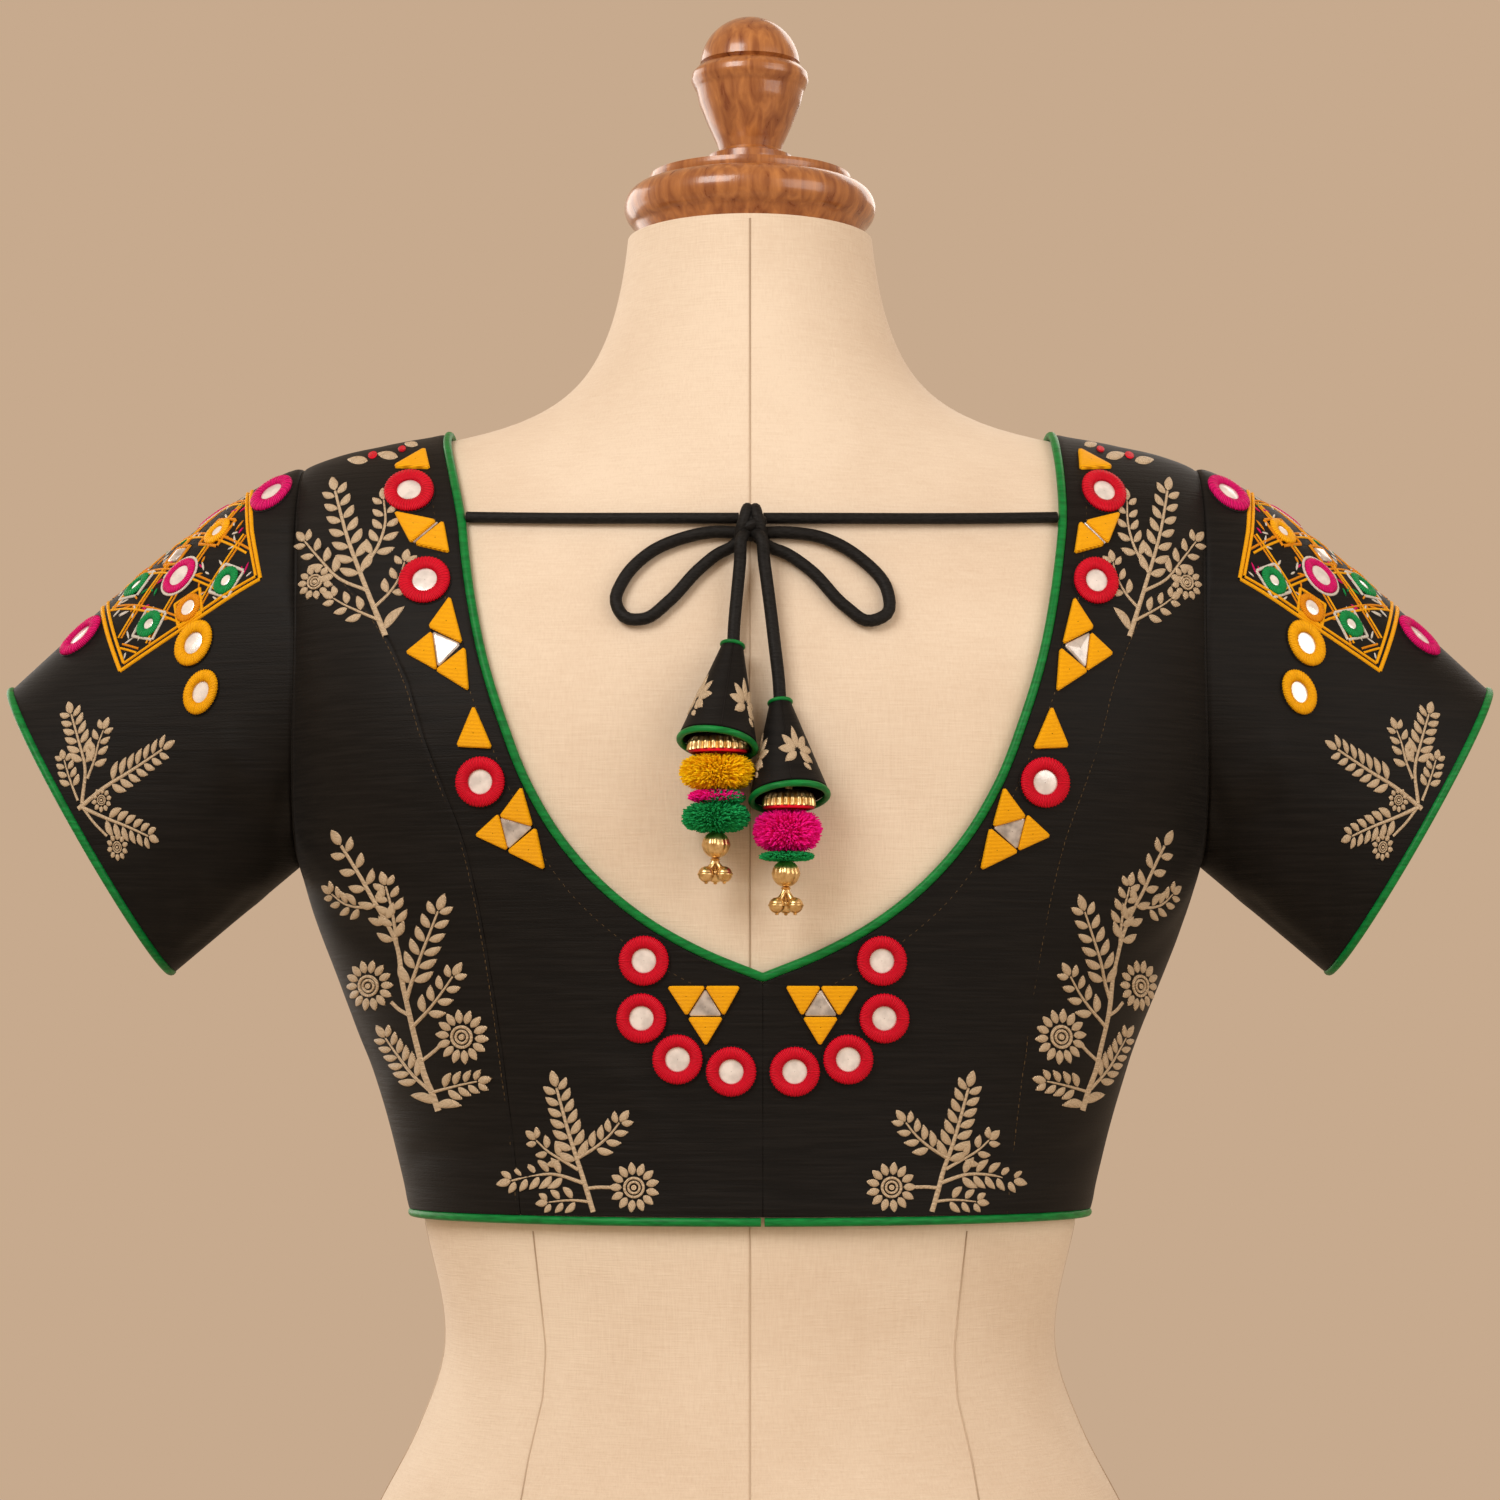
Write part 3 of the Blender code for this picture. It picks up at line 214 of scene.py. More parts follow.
def trunk(p):
    """Under 0 inside the trunk of the figure, over 0 outside."""
    x, y, z = p[..., 0], p[..., 1], p[..., 2]
    row = smooth_rows(TRUNK, z)
    half, back, front, power = (row[..., i] for i in range(4))
    sides = np.exp(-(((x - BUST_SIDE) / BUST_WIDE) ** 2)) + np.exp(-(((x + BUST_SIDE) / BUST_WIDE) ** 2))
    bust = BUST_RISE * sides * np.exp(-(((z - BUST_HEIGHT) / BUST_TALL) ** 2))
    depth = np.where(y < 0, back, front + bust)
    side = np.minimum(np.abs(x) / half, 1.6) ** power
    ridge = RIDGE_TOP - RIDGE_FALL * np.abs(x) + RIDGE_HOLLOW * x * x
    top = (np.maximum(z - ROUND_FROM, 0) / (ridge - ROUND_FROM)) ** 2
    return (y / depth) ** 2 + side + top - CORNER * np.minimum(side, 1) * np.minimum(top, 1) - 1


def slope_of(field, p, step):
    return np.stack([field(p + step * e) - field(p - step * e) for e in np.eye(3)], -1) / (2 * step)


def figure(p):
    """Distance to the skin of the figure, in millimetres near it."""
    body = trunk(p) / np.maximum(np.linalg.norm(slope_of(trunk, p, 0.4), axis=-1), 1e-9)
    half, deep, centre = (smooth_rows(NECK, p[..., 2])[..., i] for i in range(3))
    reach = np.sqrt((p[..., 0] / half) ** 2 + ((p[..., 1] - centre) / deep) ** 2)
    column = (reach - 1) * np.minimum(half, deep)
    near = np.maximum(NECK_BLEND - np.abs(body - column), 0) / NECK_BLEND
    return np.minimum(body, column) - near**3 * NECK_BLEND / 6


def cloth(p):
    """Distance to the inner face of the cloth."""
    z = p[..., 2]
    clear = CLEAR - (CLEAR - CLEAR_RIDGE) * ease((z - 515) / 20) + HEM_SLACK * ease((290 - z) / 50)
    return figure(p) - clear - FRONT_SLACK * ease(p[..., 1] / 25) * ease((172 - abs(p[..., 0])) / 30)


def normal_of(field, p):
    n = slope_of(field, p, 0.5)
    return n / np.maximum(np.linalg.norm(n, axis=-1, keepdims=True), 1e-9)


def cast(field, origin, way, out=0.0, far=260.0):
    """Where a line from inside the figure reaches the level `out` of the field."""
    way = np.asarray(way, float)
    origin = np.broadcast_to(np.asarray(origin, float), np.broadcast_shapes(np.shape(origin), way.shape))
    way = np.broadcast_to(unit(way), origin.shape)
    steps = np.linspace(0, far, 66)
    level = field(origin[..., None, :] + way[..., None, :] * steps[:, None]) - out
    first = np.argmax(level > 0, axis=-1)
    low, high = steps[np.maximum(first - 1, 0)], steps[first]
    for _ in range(18):
        middle = (low + high) / 2
        inside = field(origin + way * middle[..., None]) < out
        low, high = np.where(inside, middle, low), np.where(inside, high, middle)
    return origin + way * ((low + high) / 2)[..., None]


def seat(field, p, out=0.0, times=6):
    """The points moved onto the level `out` of the field, along its slope."""
    p = np.array(p, float)
    for _ in range(times):
        p = p - (field(p) - out)[..., None] * normal_of(field, p)
    return p


def skewed(side, height, sign):
    """X of a place on the back's half pattern; sign is -1 on the left and 1 on the right."""
    fade = ease((SKEW_SIDE - np.abs(side)) / 70) * ease((SKEW_TOP - height) / 50)
    return sign * side + SKEW * fade


def on_back(side, height, sign, field=cloth, out=0.0):
    side, height = np.asarray(side, float), np.asarray(height, float)
    x = skewed(side, height, sign)
    return cast(field, np.stack([x, 0 * x, height + 0 * x], -1), np.array([0.0, -1.0, 0.0]), out)


def on_front(side, height, sign):
    side, height = np.asarray(side, float), np.asarray(height, float)
    return cast(cloth, np.stack([sign * side, 0 * side, height], -1), np.array([0.0, 1.0, 0.0]))


def upward(lean):
    """Ways that lean from the vertical towards the front."""
    return np.stack([0 * lean, np.sin(lean), np.cos(lean)], -1)


def over_ridge(side, lean, sign):
    """A place on the shoulder at a lean from the vertical, towards the back where it is negative."""
    side, lean = np.asarray(side, float), np.radians(np.asarray(lean, float))
    return cast(cloth, np.stack([sign * side, 0 * side, 0 * side + SHOULDER_INSIDE], -1), upward(lean))


def shifted(path, by):
    """A path on the cloth moved sideways within it, to the left of its run as seen from outside."""
    along = np.gradient(path, axis=0)
    side = np.cross(normal_of(cloth, path), along)
    return seat(cloth, path + by * unit(side))


def neck_line(sign):
    """The neck opening's edge on one side, from the V point over the shoulder to the front's middle."""
    back = on_back(*np.transpose(NECK_EDGE), sign)
    sides, leans = np.transpose(NECK_OVER)
    heights = over_ridge(sides, leans, sign)[:, 2]
    sides = np.where(leans < 0, sign * skewed(sides, heights, sign), sides)
    over = over_ridge(sides, leans, sign)
    front = on_front(*np.transpose(FRONT_EDGE), sign)
    return np.concatenate([back, over, front])


def arm_ring(lean, sign):
    """A place on the armhole's edge, at a lean from its top; the back is negative."""
    lean = np.radians(np.asarray(lean, float))
    side = ARM_SIDE + ARM_SIDE_ENDS * np.cos(lean) ** 2
    return cast(cloth, np.stack([sign * side, 0 * side, 0 * side + ARM_HEIGHT], -1), upward(lean))


def joined(*runs):
    return np.concatenate([runs[0]] + [run[1:] for run in runs[1:]])


def side_line(sign, gap):
    """The side seam's edge, from the hem to the underarm, moved to the front by the gap."""
    height = np.linspace(HEM, UNDERARM, 9)
    start = np.column_stack([0 * height, 0 * height + gap, height])
    return cast(cloth, start, np.array([sign, 0.0, 0.0]))


class Sleeve:
    """The outer face of a sleeve, by turn round it (0 on top, back negative) and share of its length."""

    def __init__(self, sign):
        self.sign = sign
        self.turns = np.linspace(-180, 180, 73)
        inner = arm_ring(self.turns, sign)
        outer = outward(inner)
        side = np.maximum(abs(inner[:, 0]), abs(outer[:, 0])) + SEAM + 0.1
        self.start = np.column_stack([sign * side, outer[:, 1], outer[:, 2]])
        lean = np.radians(self.turns)
        self.round = upward(lean)
        up = np.array([sign * math.cos(CUFF_LEAN), 0, math.sin(CUFF_LEAN)])
        self.axis = np.array([sign * math.sin(CUFF_LEAN), 0, -math.cos(CUFF_LEAN)])
        centre = np.array(CUFF_CENTRE) * (sign, 1, 1)
        self.cuff_round = np.cos(lean)[:, None] * up + np.sin(lean)[:, None] * (0, 1, 0)
        self.edge = centre + CUFF_HALF * np.cos(lean)[:, None] * up
        self.edge = self.edge + CUFF_DEPTH * np.sin(lean)[:, None] * (0, 1, 0)
        self.end = self.edge - (2 * PIPE + SEAM) * self.axis

    def at(self, turn, share):
        turn, share = np.broadcast_arrays(np.asarray(turn, float), np.asarray(share, float))
        turn = (turn + 180) % 360 - 180
        pick = [np.stack([np.interp(turn, self.turns, rows[:, i]) for i in range(3)], -1)
                for rows in (self.start, self.end, self.round, self.cuff_round)]
        s = share[..., None]
        out = (1 - s) * pick[2] + s * pick[3]
        crown = SLEEVE_CROWN * np.sin(math.pi * share**0.6) * np.maximum(np.cos(np.radians(turn)), 0) ** 1.5
        return (1 - s) * pick[0] + s * pick[1] + crown[..., None] * out

    def out(self, turn, share):
        """Way out of the face; at the armhole it lies in the seam's plane."""
        turn, share = np.broadcast_arrays(np.asarray(turn, float), np.asarray(share, float))
        step = 1e-3
        low, high = np.maximum(share - step, 0), np.minimum(share + step, 1)
        along = self.at(turn, high) - self.at(turn, low)
        around = self.at(turn + 0.5, share) - self.at(turn - 0.5, share)
        face = unit(np.cross(around, along))
        flat = upward(np.radians(turn))
        face = face * np.sign((face * flat).sum(-1, keepdims=True))
        mix = ease(share / 0.15)[..., None]
        return unit((1 - mix) * flat + mix * face)


def arc(centre, radius, start, end, count):
    """Profile points on an arc, angles in degrees from +radius, heights up."""
    angles = [math.radians(start + (end - start) * i / (count - 1)) for i in range(count)]
    return [(centre[0] + radius * math.cos(a), centre[1] + radius * math.sin(a)) for a in angles]


def figure_back(x, z, out):
    return float(cast(figure, (x, 0, z), BACK, out)[1])


def grid_faces(rows, columns, base=0, closed=False):
    width = columns if closed else columns - 1
    return [
        (base + r * columns + c, base + r * columns + (c + 1) % columns,
         base + (r + 1) * columns + (c + 1) % columns, base + (r + 1) * columns + c)
        for r in range(rows - 1) for c in range(width)
    ]


def rim_loop(rows, columns):
    bottom = list(range(columns))
    right = [r * columns + columns - 1 for r in range(1, rows)]
    top = [(rows - 1) * columns + c for c in range(columns - 2, -1, -1)]
    left = [r * columns for r in range(rows - 2, 0, -1)]
    return bottom + right + top + left


def outward(points):
    return points + WALL * normal_of(cloth, points)


CELL = 2.6            # the shown cloth's faces are about this long
SHELL = 1.0           # thickness of the shown cloth
BACK = np.array([0.0, -1.0, 0.0])

# Creases of the body's cloth. The turn goes round the trunk, 0 behind, 90 at the right
#   turn, height, turn, height, width, depth (over 0 stands out)
CREASES = (
    (-78, 262, -40, 255, 5.0, -0.9), (-80, 288, -48, 294, 6.0, 0.7), (80, 270, 36, 260, 6.0, -0.8),
    (78, 298, 50, 306, 5.0, 0.6), (-88, 372, -58, 330, 7.0, -1.1), (-86, 396, -62, 354, 6.0, 0.8),
    (87, 366, 54, 318, 8.0, -1.0), (86, 400, 62, 362, 6.0, 0.7), (-52, 280, -42, 252, 4.0, -0.7),
    (-30, 300, -16, 260, 6.0, 0.5), (31, 292, 20, 254, 5.0, -0.5), (-66, 342, -50, 300, 9.0, 0.5),
    (70, 330, 58, 282, 9.0, 0.5), (-96, 350, -84, 300, 6.0, 0.8), (92, 344, 84, 290, 6.0, -0.8),
    (-92, 330, -102, 262, 7.0, -0.9), (98, 330, 101, 258, 7.0, 0.9), (152, 372, 208, 366, 9.0, -1.0),
    (160, 402, 206, 394, 8.0, 0.8), (128, 402, 104, 440, 8.0, -1.0), (-128, 398, -106, 446, 7.0, -0.9),
    (140, 322, 112, 300, 7.0, 0.8), (-142, 318, -116, 306, 8.0, -0.8), (168, 300, 150, 262, 6.0, -0.6),
    (-165, 306, -150, 256, 7.0, 0.6), (176, 340, 188, 300, 8.0, 0.6), (-120, 286, -146, 262, 5.0, 0.7),
    (122, 282, 146, 256, 5.0, -0.7),
)
#   stitched darts of the front, in the same columns
DARTS = (
    (100, 332, 132, 357, 1.3, -0.8), (-100, 332, -132, 357, 1.3, -0.8),
    (144, 243, 143, 342, 1.3, -0.8), (-144, 243, -143, 342, 1.3, -0.8),
)
# Creases of a sleeve: turn from its top, share of its length, turn, share, width, depth
SLEEVE_CREASES = (
    (-152, 0.04, -118, 0.42, 8, -1.8), (-136, 0.08, -98, 0.36, 7, 1.1), (-168, 0.20, -140, 0.62, 8, 1.0),
    (150, 0.06, 118, 0.46, 9.0, -1.6), (134, 0.10, 96, 0.40, 7.0, 1.0), (-60, 0.0, -42, 0.30, 7.0, 0.6),
    (42, 0.02, 60, 0.42, 7.0, -0.8), (100, 0.60, 150, 0.82, 8.0, 0.9), (-170, 0.32, -165, 0.92, 8.0, -1.0),
    (22, 0.50, 72, 0.70, 6.0, 0.5), (-120, 0.74, -150, 0.95, 6.0, -0.7), (170, 0.30, 160, 0.80, 7.0, 0.8),
    (-104, 0.52, -84, 0.80, 7.0, -0.5), (70, 0.04, 84, 0.30, 6.0, 0.6),
)


def run_of(points):
    steps = np.linalg.norm(np.diff(points, axis=0), axis=-1)
    return np.concatenate([np.zeros_like(steps[:1]), np.cumsum(steps, axis=0)])


def share_of(points):
    run = run_of(points)
    return run / run[-1]


def resample_at(points, shares):
    points = np.asarray(points, float)
    run = run_of(points)
    table = np.column_stack([run, points])
    fine = np.linspace(0, run[-1], 700)
    length = run_of(smooth_rows(table, fine))
    return smooth_rows(table, np.interp(np.asarray(shares) * length[-1], length, fine))


def spaced(points, cell=CELL, low=True, high=True):
    """Shares of a path in even steps, with closer ones at the ends named, where a seam rolls in."""
    length = run_of(points)[-1]
    even = np.linspace(0, 1, max(int(round(length / cell)), 6) + 1)
    near = np.array([0.6, 1.3, 2.1, 3.1]) / length
    lower = np.concatenate([[0], near]) if low else [0.0]
    upper = np.concatenate([1 - near[::-1], [1]]) if high else [1.0]
    middle = even[(even > lower[-1] + 0.4 * cell / length) & (even < upper[0] - 0.4 * cell / length)]
    return np.concatenate([lower, middle, upper])


def fine_patch(bottom, top, left, right):
    """A fine grid between four edges, rows from bottom to top, on the cloth's inner face."""
    u = ((share_of(bottom) + share_of(top)) / 2)[None, :, None]
    v = ((share_of(left) + share_of(right)) / 2)[:, None, None]
    grid = (1 - v) * bottom[None] + v * top[None] + (1 - u) * left[:, None] + u * right[:, None]
    grid = grid - (1 - v) * ((1 - u) * bottom[0] + u * bottom[-1]) - v * ((1 - u) * top[0] + u * top[-1])
    inner = seat(cloth, grid, 0.0, 4)
    inner[0], inner[-1], inner[:, 0], inner[:, -1] = bottom, top, left, right
    return inner


def soft_lines(u, v, rows):
    """The lift of soft creases at flat places u, v: each row is a line, its width and its depth."""
    lift = np.zeros(np.shape(u))
    for u0, v0, u1, v1, width, depth in rows:
        du, dv = u1 - u0, v1 - v0
        t = ((u - u0) * du + (v - v0) * dv) / (du * du + dv * dv)
        bow = 0.06 * math.hypot(du, dv) * np.sin(math.pi * np.clip(t, 0, 1))
        off = ((u - u0) * dv - (v - v0) * du) / math.hypot(du, dv) + bow
        fade = ease((t + 0.12) / 0.3) * ease((1.12 - t) / 0.3)
        lift += depth * fade * np.exp(-((off / width) ** 2))
    return lift


TRUNK_REACH = 140.0  # turns round the trunk are read as millimetres at this reach


def body_lift(p, darts):
    turn = np.arctan2(p[..., 0], -p[..., 1]) * TRUNK_REACH
    rows = [(math.radians(a) * TRUNK_REACH, b, math.radians(c) * TRUNK_REACH, d, w, h)
            for a, b, c, d, w, h in CREASES + (DARTS if darts else ())]
    whole = 2 * math.pi * TRUNK_REACH
    lift = sum(soft_lines(turn + k * whole, p[..., 2], rows) for k in (-1, 0, 1))
    x, y, z = p[..., 0], p[..., 1], p[..., 2]
    lift += 0.16 * np.sin(x / 23 + 1.3 * np.sin(z / 31)) * np.sin(z / 19 + y / 27)
    return lift


def cloth_shell(name, outer, ways, material_, closed=False):
    """A thin closed shell of cloth below a grid of its outer face."""
    rows, columns = outer.shape[:2]
    top = outer.reshape(-1, 3)
    under = (outer - SHELL * ways).reshape(-1, 3)
    count = len(top)
    faces = grid_faces(rows, columns, 0, closed)
    faces += [tuple(count + i for i in reversed(f)) for f in grid_faces(rows, columns, 0, closed)]
    if closed:
        for row in (0, rows - 1):
            ring = [row * columns + c for c in range(columns)]
            faces += [(ring[i - 1], ring[i], count + ring[i], count + ring[i - 1]) for i in range(columns)]
    else:
        rim = rim_loop(rows, columns)
        faces += [(rim[i - 1], rim[i], count + rim[i], count + rim[i - 1]) for i in range(len(rim))]
    return add_mesh(name, np.concatenate([top, under]), faces, material_)


#   how deep and how wide an edge of each kind rolls in
ROLLS = {"arm": (0.55, 1.1), "flat": (0.2, 0.8)}


def shown_panel(name, inner, kinds, darts=False):
    """A panel from its inner grid. kinds says what its bottom, right, top and left edges are."""
    ways = normal_of(cloth, inner)
    across = np.swapaxes(run_of(np.swapaxes(inner, 0, 1)), 0, 1)
    up = run_of(inner)
    gaps = (up, across[:, -1:] - across, up[-1:] - up, across)
    along = (across, up, across, up)
    lift = WALL + body_lift(inner, darts) * np.minimum.reduce([ease(gap / 14) for gap in gaps])
    for kind, gap, run in zip(kinds, gaps, along):
        if kind == "edge":
            lift = lift + 0.22 * np.exp(-(((gap - 3) / 4) ** 2))
        else:
            deep, wide = ROLLS[kind]
            lift = lift - deep * np.exp(-((gap / wide) ** 2))
            lift = lift + 0.12 * np.exp(-((gap / 5) ** 2)) * np.sin(run / 3.4 + 2 * np.sin(run / 17))
    return cloth_shell(name, inner + lift[..., None] * ways, ways, SILK_LOOK)


def back_grids(sign, neck_panel):
    """Inner grids of the centre back and the side back of one side."""
    gap = SEAM / 2
    seam = np.concatenate([on_back(*np.transpose(PRINCESS), sign), arm_ring([PRINCESS_ARM], sign)])
    seam = resample_at(seam, np.linspace(0, 1, 200))
    seam_in, seam_out = shifted(seam, sign * gap), shifted(seam, -sign * gap)
    low_z = np.linspace(HEM, neck_panel[0][2], 12)
    centre = on_back(gap + 0 * low_z, low_z, sign)
    arm_high = arm_ring(np.linspace(PRINCESS_ARM + 0.4, -3, 24), sign)
    shoulder = over_ridge(np.linspace(abs(neck_panel[-1][0]), abs(arm_high[-1][0]), 24), -2.0, sign)
    shoulder[0], shoulder[-1] = neck_panel[-1], arm_high[-1]
    cut = int(np.argmin(abs(share_of(seam_in) - 0.30)))
    low, high = seam_in[:cut + 1], seam_in[cut:]
    low_shares, high_shares = spaced(low, high=False), spaced(neck_panel, low=False)
    right = joined(resample_at(centre, low_shares), resample_at(neck_panel, high_shares))
    left = joined(resample_at(low, low_shares), resample_at(joined(high, arm_high), high_shares))
    hem = on_back(np.linspace(abs(seam_in[0][0]), gap, 40), HEM, sign)
    hem[0], hem[-1] = left[0], right[0]
    shares = spaced(hem, 2.4)
    middle = fine_patch(resample_at(hem, shares), resample_at(shoulder[::-1], shares), left, right)

    side_seam = side_line(sign, -gap * 1.5)
    low_arm = arm_ring(np.linspace(-179.0, PRINCESS_ARM - 0.4, 60), sign)
    side_seam[-1] = low_arm[0]
    shares = spaced(seam_out)
    left, right = resample_at(side_seam, shares), resample_at(seam_out, shares)
    right[-1] = low_arm[-1]
    way = np.linspace(left[0], right[0], 40) * (1, 1, 0)
    around = cast(cloth, (0, 0, HEM), way)
    around[0], around[-1] = left[0], right[0]
    shares = spaced(low_arm)
    return middle, fine_patch(resample_at(around, shares), resample_at(low_arm, shares), left, right)


def front_grid(necks):
    gap = SEAM / 2
    halves = []
    for sign, neck in necks:
        side_seam = side_line(sign, gap * 1.5)
        arm = arm_ring(np.linspace(FRONT_ARM[0], FRONT_ARM[-1], 60), sign)
        side_seam[-1] = arm[0]
        low_shares, high_shares = spaced(side_seam, high=False), spaced(arm, low=False)
        left = joined(resample_at(side_seam, low_shares), resample_at(arm, high_shares))
        middle = on_front(np.zeros(len(left)), HEM + share_of(left) * (neck[-1][2] - HEM), sign)
        middle[-1] = neck[-1]
        shoulder = over_ridge(np.linspace(abs(arm[-1][0]), abs(neck[0][0]), 16), 2.0, sign)
        shoulder[0], shoulder[-1] = arm[-1], neck[0]
        top = joined(resample_at(shoulder, spaced(shoulder, high=False)),
                     resample_at(neck, spaced(neck, low=False, high=False)))
        turns = np.linspace(0, math.pi / 2, 60)
        way = np.column_stack([sign * np.cos(turns), np.sin(turns), 0 * turns])
        hem = resample_at(cast(cloth, (0, 0, HEM), way), share_of(top))
        hem[0], hem[-1] = left[0], middle[0]
        halves.append(fine_patch(hem, top, left, middle))
    return np.concatenate([halves[0], halves[1][:, ::-1][:, 1:]], axis=1)


def sleeve_lift(turn, share):
    u, v = turn / 360 * SLEEVE_GIRTH, share * SLEEVE_LENGTH
    rows = [(*sleeve_flat(a, b), *sleeve_flat(c, d), w, h) for a, b, c, d, w, h in SLEEVE_CREASES]
    rows += [(*sleeve_flat(k, 0.0), sleeve_flat(k + 2, 0.0)[0], 7.0, 2.2, 0.3) for k in range(-66, 70, 11)]
    lift = sum(soft_lines(u + k * SLEEVE_GIRTH, v, rows) for k in (-1, 0, 1))
    return lift * ease(v / 6) * ease((SLEEVE_LENGTH - v) / 16) - 0.45 * np.exp(-((v / 1.2) ** 2))


def shown_sleeve(name, shape):
    around, along = 150, 48
    turns = -180 + 360 * np.arange(around) / around
    near = np.array([0, 0.005, 0.011, 0.018, 0.027])
    shares = np.concatenate([near, np.linspace(0.05, 0.95, along), 1.003 - near[::-1]])
    turn, share = np.meshgrid(turns, shares)
    ways = shape.out(turn, share)
    places = shape.at(turn, share) + sleeve_lift(turn, share)[..., None] * ways
    return cloth_shell(name, places, ways, SILK_LOOK, closed=True)


# Surfaces on which embroidery is laid: each takes flat millimetres and a rise


class BackSurface:
    """The back's outer face over the half pattern: side, height, rise."""

    step = 3.0

    def __init__(self):
        self.sides = np.arange(0, 200, self.step)
        self.heights = np.arange(236, 560, self.step)
        x, z = np.meshgrid(self.sides, self.heights)
        places = cast(cloth, np.stack([x, 0 * x, z], -1), BACK)
        self.rows = np.concatenate([places, normal_of(cloth, places)], -1)

    def read(self, x, z):
        a = np.clip(np.abs(x) / self.step, 0, len(self.sides) - 1.001)
        b = np.clip((z - self.heights[0]) / self.step, 0, len(self.heights) - 1.001)
        i, j = a.astype(int), b.astype(int)
        s, t = (a - i)[..., None], (b - j)[..., None]
        grid = self.rows
        return ((1 - s) * (1 - t) * grid[j, i] + s * (1 - t) * grid[j, i + 1]
                + (1 - s) * t * grid[j + 1, i] + s * t * grid[j + 1, i + 1])

    def on(self, sign):
        def place_at(flat):
            x = skewed(flat[..., 0], flat[..., 1], sign)
            row = self.read(x, flat[..., 1])
            mirror = np.stack([np.sign(x) + (x == 0), 1 + 0 * x, 1 + 0 * x], -1)
            way = unit(row[..., 3:] * mirror)
            point = np.stack([x, row[..., 1], flat[..., 1]], -1)
            return point + (WALL + body_lift(point, False) + flat[..., 2])[..., None] * way
        return place_at


def sleeve_surface(shape):
    """A sleeve's outer face: millimetres round it from its top, millimetres down it, rise."""
    def place_at(flat):
        turn, share = flat[..., 0] / SLEEVE_GIRTH * 360, flat[..., 1] / SLEEVE_LENGTH
        lift = sleeve_lift(turn, share) + flat[..., 2]
        return shape.at(turn, share) + lift[..., None] * shape.out(turn, share)
    return place_at


